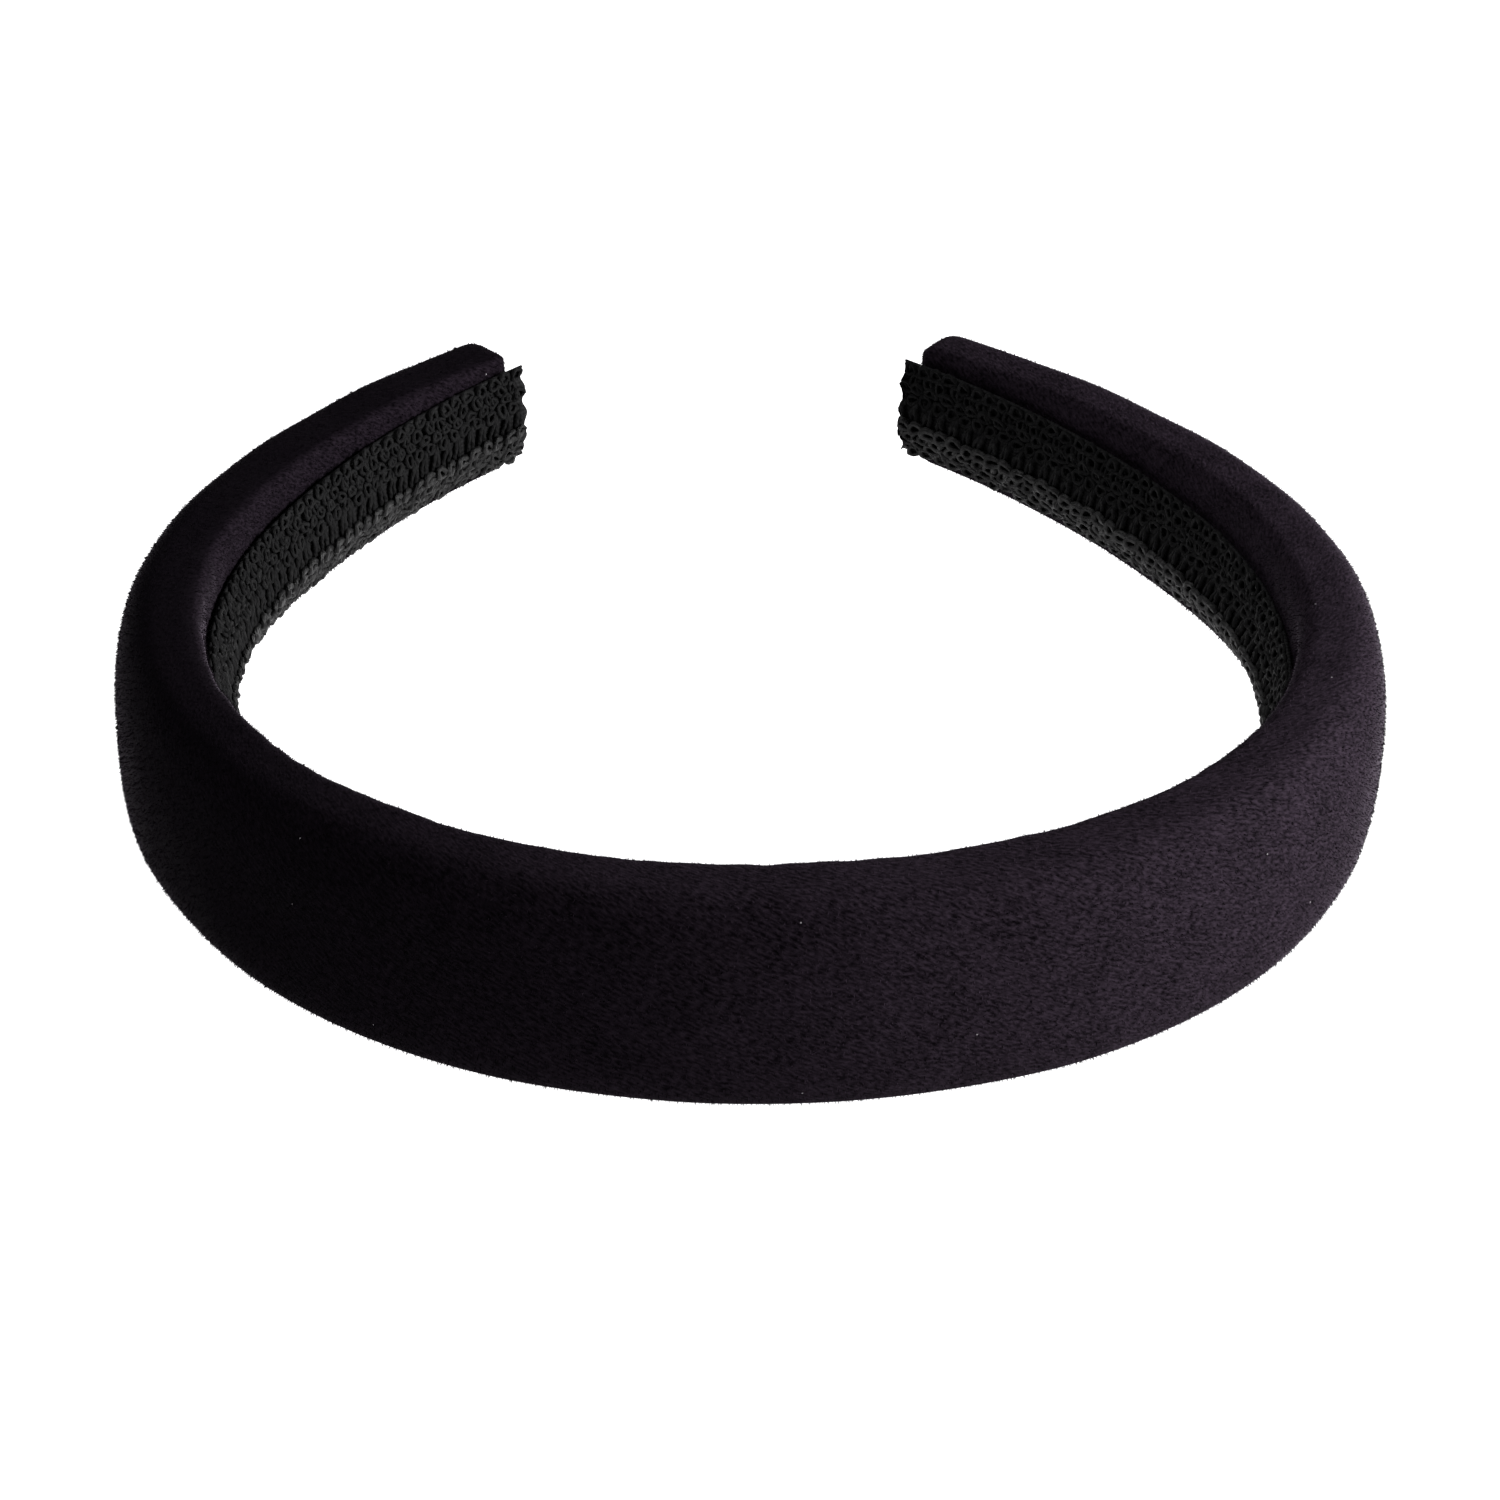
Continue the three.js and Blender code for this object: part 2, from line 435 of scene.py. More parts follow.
def in_millimetres(nodes: Nodes, uv_map: str) -> bpy.types.NodeSocket:
    """A UV map that holds metres, in millimetres.

    Args:
        nodes: The material's nodes.
        uv_map: The map's name.

    Returns:
        The coordinates' socket.
    """
    uv = nodes.add("ShaderNodeUVMap", uv_map=uv_map).outputs[0]
    return nodes.add("ShaderNodeMapping", {"Vector": uv, "Scale": (1 / MM,) * 3}).outputs[0]


def painted_side_shade(nodes: Nodes, effects: Effects, place: object) -> bpy.types.NodeSocket:
    """How light the velvet's colour is painted at a point: painted side shade, and painted light on
    its roll.

    Args:
        nodes: The material's nodes.
        effects: The shared shader groups.
        place: The object coordinates' socket.

    Returns:
        The shade's socket.
    """
    head_side = nodes.add("ShaderNodeAttribute", attribute_name=HEAD_SIDE).outputs["Fac"]
    inputs = {"Vector": place, "Head Side": head_side}
    return nodes.add("ShaderNodeGroup", inputs, node_tree=effects.painted_shade).outputs["Shade"]


@dataclass(frozen=True)
class VelvetFinish:
    """Short black pile with a purple sheen; its colour also carries painted side shade and a
    painted rim sheen.
    """

    deep: tuple = (0.0005, 0.0003, 0.0006, 1.0)
    lit: tuple = (0.0138, 0.0100, 0.0144, 1.0)
    lint: tuple = (0.16, 0.15, 0.16, 1.0)
    edge: tuple = (0.085, 0.072, 0.088, 1.0)  # painted rim sheen: colour mixed in where the cloth is seen edge-on, standing in for its fuzz catching light
    rim_sheen_share: float = 0.70
    rim_sheen_power: float = 13.0
    sheen: float = 0.005
    sheen_roughness: float = 0.45
    sheen_tint: tuple = (0.90, 0.74, 0.95, 1.0)
    grain: float = 0.34  # feature size in millimetres
    grain_range: tuple = (0.36, 0.64)  # noise levels that give the darkest and the lightest grain
    grain_height: float = 0.20 * MM
    patch_share: float = 0.22  # how much the soft patches count beside the grain

    def material(self, effects: Effects) -> bpy.types.Material:
        """Builds the material.

        Args:
            effects: The shared shader groups.

        Returns:
            The material.
        """
        material, nodes, shader = blank_material("black_velvet")
        vector = in_millimetres(nodes, "cloth")
        grain = nodes.add("ShaderNodeGroup", {"Vector": vector, "Grain": self.grain},
                          node_tree=effects.pile_grain)
        fine = nodes.remap(grain.outputs["Fine"], *self.grain_range)
        patches = nodes.remap(grain.outputs["Patches"], 0.3, 0.7)
        # the grain's share is scaled by the painted side shade, which also paints light on the roll
        share = nodes.math("MULTIPLY", nodes.blend(self.patch_share, fine, patches),
                           painted_side_shade(nodes, effects, nodes.objects_own()))
        lint = nodes.add("ShaderNodeGroup", {"Vector": vector}, node_tree=effects.lint)
        pile = nodes.mix(share, self.deep, self.lit)
        # painted rim sheen: Layer Weight facing lightens the colour where the cloth is seen edge-on
        facing = nodes.add("ShaderNodeLayerWeight", {"Blend": 0.5}).outputs["Facing"]
        edge = nodes.math("MULTIPLY", nodes.math("POWER", facing, self.rim_sheen_power), self.rim_sheen_share)
        pile = nodes.mix(edge, pile, self.edge)
        colour = nodes.mix(lint.outputs["Mask"], pile, self.lint)
        feed(nodes, shader, colour, nodes.remap(patches, 0.0, 1.0, 0.82, 1.0),
             grain.outputs["Fine"], self.grain_height)
        set_shader(shader, sheen_weight=self.sheen, sheen_roughness=self.sheen_roughness,
                   sheen_tint=self.sheen_tint, ior=1.05)
        return material


@dataclass(frozen=True)
class FibreFinish:
    """Single tufts of the pile, each a little different."""

    deep: tuple = (0.0006, 0.0004, 0.0007, 1.0)
    lit: tuple = (0.0200, 0.0146, 0.0210, 1.0)

    def material(self, effects: Effects) -> bpy.types.Material:
        """Builds the material: tufts that differ from one to the next, darkened by the painted side
        shade.

        Args:
            effects: The shared shader groups.

        Returns:
            The material.
        """
        material, nodes, shader = blank_material("velvet_fibre")
        place = nodes.objects_own()
        tuft = nodes.remap(nodes.noise(place, 0.5 * MM, 1.0), 0.35, 0.65)
        patch = nodes.remap(nodes.noise(place, 8 * MM, 3.0), 0.3, 0.7)
        level = nodes.math("ADD", nodes.math("MULTIPLY", patch, 0.5), 0.5)
        share = nodes.math("MULTIPLY", tuft, level)
        # painted side shade, the same as on the cloth
        share = nodes.math("MULTIPLY", share, painted_side_shade(nodes, effects, place))
        feed(nodes, shader, nodes.mix(share, self.deep, self.lit),
             nodes.remap(patch, 0.0, 1.0, 0.75, 0.95))
        set_shader(shader, ior=1.05)
        return material


@dataclass(frozen=True)
class ThreadFinish:
    """Black polyester thread."""

    name: str
    deep: tuple
    lit: tuple
    roughness: tuple
    specular: float
    twist_height: float = 0.09 * MM

    def material(self, effects: Effects) -> bpy.types.Material:
        """Builds the material.

        Args:
            effects: The shared shader groups.

        Returns:
            The material.
        """
        material, nodes, shader = blank_material(self.name)
        uv = nodes.add("ShaderNodeUVMap", uv_map="thread").outputs[0]
        twist = nodes.add("ShaderNodeGroup", {"Vector": uv}, node_tree=effects.twist)
        height = twist.outputs["Height"]
        uneven = nodes.remap(nodes.noise(nodes.objects_own(), 1.5 * MM, 3.0), 0.3, 0.7)
        # the colour follows the twist's relief: painted shade in the grooves between plies, with
        # random unevenness on top
        share = nodes.math("MULTIPLY", height, uneven)
        feed(nodes, shader, nodes.mix(share, self.deep, self.lit),
             nodes.remap(uneven, 0.0, 1.0, *self.roughness), height, self.twist_height)
        set_shader(shader, specular_ior_level=self.specular)
        return material


DULL_THREAD = ThreadFinish("tape_thread_dull", (0.0005, 0.0005, 0.0006, 1.0),
                           (0.0031, 0.0030, 0.0033, 1.0), (0.60, 0.85), 0.07)
# the lower threads: the same thread in a lighter colour, painted light standing in for the floor's
# bounce on the lower panel
BOUNCE_LIT_THREAD = ThreadFinish("tape_thread_bright", (0.0012, 0.0012, 0.0013, 1.0),
                             (0.0058, 0.0056, 0.0060, 1.0), (0.40, 0.70), 0.14)


@dataclass(frozen=True)
class KnitGroundFinish:
    """The tape's fine ground, seen between its threads."""

    deep: tuple = (0.0006, 0.0006, 0.0007, 1.0)
    lit: tuple = (0.0040, 0.0039, 0.0042, 1.0)
    wale: float = 0.55
    course: float = 0.8

    def material(self) -> bpy.types.Material:
        """Builds the material: fine ribs both ways."""
        material, nodes, shader = blank_material("tape_ground")
        vector = in_millimetres(nodes, "cloth")
        parts = nodes.parts(vector)
        courses = nodes.math("SINE", nodes.math("MULTIPLY", parts["X"], 2 * math.pi / self.course))
        wales = nodes.math("SINE", nodes.math("MULTIPLY", parts["Y"], 2 * math.pi / self.wale))
        mesh = nodes.remap(nodes.math("ADD", courses, wales), -2.0, 2.0)
        # the colour follows the ribs' relief: painted shade in the grooves between them
        feed(nodes, shader, nodes.mix(mesh, self.deep, self.lit),
             nodes.remap(mesh, 0.0, 1.0, 0.9, 0.7), mesh, 0.1 * MM)
        set_shader(shader, specular_ior_level=0.08)
        return material


@dataclass(frozen=True)
class FoamFinish:
    """Open-cell foam."""

    deep: tuple = (0.020, 0.020, 0.021, 1.0)
    lit: tuple = (0.085, 0.084, 0.088, 1.0)
    cell: float = 0.5

    def material(self) -> bpy.types.Material:
        """Builds the material: cells whose hollows are darkened with painted shade."""
        material, nodes, shader = blank_material("foam")
        cells = nodes.add("ShaderNodeTexVoronoi",
                          {"Vector": nodes.objects_own(), "Scale": 1 / (self.cell * MM)})
        wall = nodes.remap(cells.outputs["Distance"], 0.1, 0.7)
        feed(nodes, shader, nodes.mix(wall, self.deep, self.lit),
             nodes.remap(wall, 0.0, 1.0, 1.0, 0.88), wall, 0.2 * MM, 0.9)
        set_shader(shader, specular_ior_level=0.15)
        return material


@dataclass(frozen=True)
class PlasticFinish:
    """Moulded black plastic with a fine grain."""

    deep: tuple = (0.012, 0.012, 0.013, 1.0)
    lit: tuple = (0.024, 0.023, 0.025, 1.0)

    def material(self) -> bpy.types.Material:
        """Builds the material: moulded grain with faint flow marks."""
        material, nodes, shader = blank_material("moulded_plastic")
        place = nodes.objects_own()
        grain = nodes.noise(place, 0.35 * MM, 3.0)
        flow = nodes.noise(place, 14 * MM, 2.0)
        feed(nodes, shader, nodes.mix(flow, self.deep, self.lit),
             nodes.remap(grain, 0.3, 0.7, 0.36, 0.52), grain, 0.03 * MM, 0.3)
        return material


# ---------------------------------------------------------------- the band's own shape


@dataclass(frozen=True)
class Arc:
    """One round stretch of the spine."""

    radius: float
    length: float


@dataclass(frozen=True)
class Spine:
    """Middle line of the hoop, the same on both sides of x = 0."""

    start: float  # y of the middle of the crown
    crown: Arc = Arc(80 * MM, 28 * MM)
    side: Arc = Arc(61 * MM, 66 * MM)
    temple: Arc = Arc(76 * MM, 45 * MM)
    arm: Arc = Arc(130 * MM, 53.5 * MM)

    @property
    def half(self) -> float:
        """Length from the middle of the crown to a tip."""
        return sum(arc.length for arc in (self.crown, self.side, self.temple, self.arm))

    def trace(self, s: np.ndarray) -> tuple[np.ndarray, np.ndarray, np.ndarray]:
        """Follows the spine; the last arc runs on past the tip.

        Args:
            s: Lengths along the spine.

        Returns:
            x, y and heading there.
        """
        left = np.abs(s)
        x, y, heading = np.zeros_like(left), np.zeros_like(left), np.zeros_like(left)
        for arc in (self.crown, self.side, self.temple, self.arm):
            run = left if arc is self.arm else np.minimum(left, arc.length)
            turned = heading + run / arc.radius
            x = x + arc.radius * (np.sin(turned) - np.sin(heading))
            y = y + arc.radius * (np.cos(heading) - np.cos(turned))
            heading, left = turned, left - run
        return np.sign(s) * x, self.start + y, np.sign(s) * heading

    def place(self, s: np.ndarray, v: np.ndarray, z: np.ndarray) -> np.ndarray:
        """Points in the row frame.

        Args:
            s: Lengths along the spine.
            v: Distances from it, away from the head.
            z: Heights.

        Returns:
            Points, with x, y and z in the last axis.
        """
        x, y, heading = self.trace(s)
        return np.stack([x + v * np.sin(heading), y - v * np.cos(heading), z + 0 * x], axis=-1)


@dataclass(frozen=True)
class Taper:
    """A size at the crown and at the tips."""

    crown: float
    tip: float

    def at(self, share: np.ndarray) -> np.ndarray:
        """The size at a share of the way from the crown to the tips."""
        return self.crown + (self.tip - self.crown) * share


@dataclass(frozen=True)
class Section:
    """The padded section's sizes along the spine."""

    middle: np.ndarray
    outer: np.ndarray
    inner: np.ndarray
    flat: np.ndarray  # half the height of the flat on the head side


def rounded_quarter(power: float, steps: int) -> tuple[np.ndarray, np.ndarray]:
    """A quarter of a superellipse of radius 1, from its side to its top.

    Args:
        power: How full it is; 2 is a circle.
        steps: Number of steps.

    Returns:
        Sideways and upward reach of each point.
    """
    angle = np.linspace(0, math.pi / 2, steps + 1)
    side, up = np.cos(angle), np.sin(angle)
    side[-1] = 0
    reach = (side ** power + up ** power) ** (-1 / power)
    return side * reach, up * reach


@dataclass(frozen=True)
class PaddedBand:
    """Outer shape of the padded band, before any cloth detail."""

    spine: Spine
    height: Taper = Taper(27 * MM, 16.5 * MM)
    taper_power: float = 1.5
    outer: Taper = Taper(7 * MM, 5.5 * MM)
    inner: Taper = Taper(5.4 * MM, 3 * MM)
    roll: Taper = Taper(4.5 * MM, 3 * MM)
    dome_power: float = 3.2
    crest_power: float = 2.7  # the dome's upper half, which no surface presses flat
    crest: float = 0.8 * MM
    roll_power: float = 2.6
    land: float = 3 * MM
    end_round: float = 2.5 * MM
    slot: float = 4.5 * MM  # between the cover's turned-in edges
    slot_steps: int = 2
    flat_steps: int = 4
    roll_steps: int = 10
    land_steps: int = 3
    dome_steps: int = 16

    def section(self, s: np.ndarray) -> Section:
        """Sizes of the section along the spine.

        Args:
            s: Lengths along the spine.

        Returns:
            The sizes there.
        """
        half = self.spine.half
        along = np.minimum(np.abs(s) / half, 1)
        tip_depth = self.spine.trace(np.array([half]))[1][0] - self.spine.start
        depth = np.minimum((self.spine.trace(s)[1] - self.spine.start) / tip_depth, 1)
        height = self.height.at(depth ** self.taper_power)
        return Section(height / 2, self.outer.at(along), self.inner.at(along),
                       height / 2 - self.roll.at(along))

    def head_side(self, s: np.ndarray, rise: np.ndarray) -> np.ndarray:
        """How far the velvet reaches on the head side.

        Args:
            s: Lengths along the spine.
            rise: Heights above the band's middle.

        Returns:
            Distances from the spine, towards the head.
        """
        size = self.section(s)
        land = self.land / 2
        up = np.clip((np.abs(rise) - size.flat) / (size.middle - size.flat), 0, 1)
        full = (1 - up ** self.roll_power) ** (1 / self.roll_power)
        return land + (size.inner - land) * full

    def half_outline(self, size: Section, inset: np.ndarray, crest: float,
                     power: float) -> tuple[np.ndarray, np.ndarray]:
        """Half of the section's outline, from the middle of the head side to the outermost point.

        Args:
            size: The section's sizes, one for each row.
            inset: How far each row is drawn in.
            crest: Where the flat along the edge ends on the outer side.
            power: How full the dome is from there.

        Returns:
            v and rise, with a row for each size.
        """
        top = (size.middle - inset)[:, None]
        flat = np.minimum(size.flat[:, None], top)
        outer = (size.outer - inset)[:, None]
        inner = (size.inner - inset)[:, None]
        land = np.minimum(np.minimum(self.land / 2, inner), outer)
        crest = np.minimum(crest, outer)
        slot = np.minimum(self.slot / 2, flat)
        ramp = np.linspace(0, 1, self.slot_steps, endpoint=False)
        rest = np.linspace(0, 1, self.flat_steps, endpoint=False)
        across = np.linspace(0, 1, self.land_steps, endpoint=False)
        roll_side, roll_up = rounded_quarter(self.roll_power, self.roll_steps)
        dome_side, dome_up = (x[::-1] for x in rounded_quarter(power, self.dome_steps))
        v = [-inner + 0 * ramp, -inner + 0 * rest, -land - (inner - land) * roll_side[:-1],
             -land + (land + crest) * across, crest + (outer - crest) * dome_side]
        rise = [slot * ramp, slot + (flat - slot) * rest, flat + (top - flat) * roll_up[:-1],
                top + 0 * across, top * dome_up]
        return np.concatenate(v, axis=1), np.concatenate(rise, axis=1)

    def outline(self, s: np.ndarray, inset: np.ndarray) -> tuple[np.ndarray, np.ndarray]:
        """The section's outline, from the middle of the head side up, over and back.

        Args:
            s: Lengths along the spine, one for each row.
            inset: How far each row is drawn in.

        Returns:
            v and rise, with a row for each s, whose last point is its first again.
        """
        size = self.section(s)
        v, rise = self.half_outline(size, inset, self.crest, self.crest_power)
        low_v, low_rise = self.half_outline(size, inset, self.land / 2, self.dome_power)
        return (np.concatenate([v, low_v[:, -2::-1]], axis=1),
                np.concatenate([rise, -low_rise[:, -2::-1]], axis=1))

    def rows(self, step: float, inset: float, end_steps: int) -> tuple[np.ndarray, np.ndarray]:
        """Stations along the whole band, with its rounded ends.

        Args:
            step: Distance between stations.
            inset: How far the shape is drawn in all round.
            end_steps: Stations over each rounded end.

        Returns:
            s and inset of each station.
        """
        reach, radius = self.spine.half - inset, self.end_round - inset
        straight = reach - radius
        middle = np.linspace(-straight, straight, 2 * round(straight / step) + 1)
        angle = np.linspace(0, math.pi / 2, end_steps + 1)[1:]
        end_s, end_in = straight + radius * np.sin(angle), radius * (1 - np.cos(angle))
        return (np.concatenate([-end_s[::-1], middle, end_s]),
                inset + np.concatenate([end_in[::-1], 0 * middle, end_in]))


class Undulation:
    """Smooth uneven swelling over a sheet, from a few waves of mixed lengths."""

    def __init__(self, seed: int, shortest: float, longest: float, waves: int = 14) -> None:
        """Draws the waves.

        Args:
            seed: Seed of the draws.
            shortest: Shortest wave length.
            longest: Longest wave length.
            waves: How many waves.
        """
        draw = np.random.default_rng(seed)
        length = np.exp(draw.uniform(math.log(shortest), math.log(longest), waves))
        way = draw.uniform(0, math.pi, waves)
        self.kx, self.ky = 2 * math.pi * np.cos(way) / length, 2 * math.pi * np.sin(way) / length
        self.phase = draw.uniform(0, 2 * math.pi, waves)

    def at(self, x: np.ndarray, y: np.ndarray) -> np.ndarray:
        """Height of the swelling, about -1 to 1, at points x, y of the sheet."""
        waves = np.sin(x[..., None] * self.kx + y[..., None] * self.ky + self.phase)
        return waves.sum(axis=-1) / math.sqrt(2 * len(self.phase))


# ---------------------------------------------------------------- meshes


def make_piece(name: str, points: np.ndarray, faces: list, uv_name: str | None = None,
               uv: np.ndarray | None = None,
               levels: np.ndarray | None = None) -> bpy.types.Object:
    """A smooth-shaded mesh object at the origin.

    Args:
        name: The piece's name.
        points: Vertices, one row each.
        faces: Vertex numbers of each face.
        uv_name: Name of its UV map.
        uv: Map coordinates of every face corner, in face order.
        levels: Each vertex's head-side level, if it has one.

    Returns:
        The new object.
    """
    mesh = bpy.data.meshes.new(name)
    mesh.from_pydata(points.tolist(), [], faces)
    if levels is not None:
        mesh.attributes.new(HEAD_SIDE, "FLOAT", "POINT").data.foreach_set("value", levels)
    if uv_name is not None:
        layer = mesh.uv_layers.new(name=uv_name)
        layer.data.foreach_set("uv", np.asarray(uv, np.float32).ravel())
    mesh.polygons.foreach_set("use_smooth", [True] * len(mesh.polygons))
    mesh.update()
    piece = bpy.data.objects.new(name, mesh)
    bpy.context.scene.collection.objects.link(piece)
    return piece


def grid_faces(rows: int, columns: int, keep: np.ndarray | None = None) -> np.ndarray:
    """Quads of a grid of points with `columns` points in each row.

    Args:
        rows: Number of rows of points.
        columns: Number of points in a row.
        keep: Which quads to keep, rows - 1 by columns - 1.

    Returns:
        Four vertex numbers for each quad: along the rows first, then across.
    """
    first = np.arange(rows - 1)[:, None] * columns + np.arange(columns - 1)[None, :]
    quads = np.stack([first, first + columns, first + columns + 1, first + 1], axis=-1)
    return quads.reshape(-1, 4) if keep is None else quads[keep]


def weld(piece: bpy.types.Object) -> None:
    """Merges the points of a piece that are one point.

    Args:
        piece: The piece.
    """
    shape = bmesh.new()
    shape.from_mesh(piece.data)
    bmesh.ops.remove_doubles(shape, verts=shape.verts, dist=WELD)
    bmesh.ops.recalc_face_normals(shape, faces=shape.faces)
    shape.to_mesh(piece.data)
    shape.free()


def bake_modifiers(piece: bpy.types.Object) -> bpy.types.Object:
    """Turns a piece's modifiers into its plain mesh.

    Args:
        piece: The piece.

    Returns:
        The same piece, with no modifier left.
    """
    evaluated = piece.evaluated_get(bpy.context.evaluated_depsgraph_get())
    made = bpy.data.meshes.new_from_object(evaluated)
    old, name = piece.data, piece.data.name
    piece.modifiers.clear()
    piece.data = made
    bpy.data.meshes.remove(old)
    made.name = name
    return piece


def run_tree(piece: bpy.types.Object, group: Group, values: dict) -> bpy.types.Object:
    """Runs a Geometry Nodes tree on a piece.

    Args:
        piece: The piece that the tree starts from.
        group: The tree.
        values: Input name to value.

    Returns:
        The same piece, as a plain mesh.
    """
    modifier = piece.modifiers.new("tree", "NODES")
    modifier.node_group = group.tree
    for label, value in values.items():
        modifier[group.sockets[label]] = value
    return bake_modifiers(piece)


def thicken(piece: bpy.types.Object, thickness: float, offset: float) -> bpy.types.Object:
    """Gives a sheet its thickness.

    Args:
        piece: The sheet.
        thickness: Its thickness.
        offset: -1 grows it inwards, 1 outwards.

    Returns:
        The same piece.
    """
    solid = piece.modifiers.new("thickness", "SOLIDIFY")
    solid.thickness = thickness
    solid.offset = offset
    return bake_modifiers(piece)


def hand_over(piece: bpy.types.Object, slot: Slot, *nodes: str) -> bpy.types.Object:
    """Gives a finished piece its body and hides the CAD nodes that it stands for.

    Args:
        piece: The finished piece.
        slot: Not used.
        nodes: CAD nodes that it replaces.

    Returns:
        The same piece.
    """
    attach(piece, BODY)
    if nodes:
        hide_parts(*nodes)
    log.info("%s: %d faces", piece.name, len(piece.data.polygons))
    return piece


# ---------------------------------------------------------------- velvet cover


@dataclass(frozen=True)
class PileTree:
    """Geometry Nodes that stand short tufts of fibre on a cloth."""

    density: float = 4.6e6  # tufts in a square metre
    length: float = 0.40 * MM
    radius: float = 0.055 * MM
    lean: float = 0.55
    spread: float = 0.7
    seed: int = 11

    def group(self) -> Group:
        """Builds the tree.

        Returns:
            The group, with the fibre's sizes as named inputs.
        """
        group = Group(
            "PileFibres", "GeometryNodeTree",
            {
                "Cloth": (GEOMETRY, None),
                "Density": (FLOAT, self.density),
                "Length": (FLOAT, self.length),
                "Radius": (FLOAT, self.radius),
                "Lean": (VECTOR, (0.0, 0.0, -self.lean)),
                "Spread": (FLOAT, self.spread),
                "Seed": (INTEGER, self.seed),
                "Material": (MATERIAL, None),
            },
            {"Pile": GEOMETRY},
        )
        taken = group.taken
        spots = group.add("GeometryNodeDistributePointsOnFaces",
                          {"Mesh": taken["Cloth"], "Density": taken["Density"],
                           "Seed": taken["Seed"]})
        fibre = group.add("GeometryNodeMeshCone",
                          {"Vertices": 3, "Radius Top": 0.0, "Radius Bottom": taken["Radius"],
                           "Depth": taken["Length"]}, fill_type="NGON")
        stray = group.add("FunctionNodeRandomValue",
                          {0: (-1.0, -1.0, -1.0), 1: (1.0, 1.0, 1.0), 8: taken["Seed"]},
                          data_type="FLOAT_VECTOR").outputs[0]
        way = group.vector_math("ADD", spots.outputs["Normal"], taken["Lean"])
        way = group.vector_math("ADD", way, group.scaled(stray, taken["Spread"]))
        turn = group.add("FunctionNodeAlignRotationToVector", {"Vector": way}, axis="Z")
        size = group.add("FunctionNodeRandomValue",
                         {2: 0.55, 3: 1.2, 8: group.math("ADD", taken["Seed"], 1.0)},
                         data_type="FLOAT").outputs[1]
        stand = group.add("GeometryNodeInstanceOnPoints",
                          {"Points": spots.outputs["Points"], "Instance": fibre.outputs["Mesh"],
                           "Rotation": turn.outputs[0], "Scale": size})
        real = group.add("GeometryNodeRealizeInstances", {0: stand.outputs[0]})
        dressed = group.add("GeometryNodeSetMaterial",
                            {"Geometry": real.outputs[0], "Material": taken["Material"]})
        group.give("Pile", dressed.outputs[0])
        return group


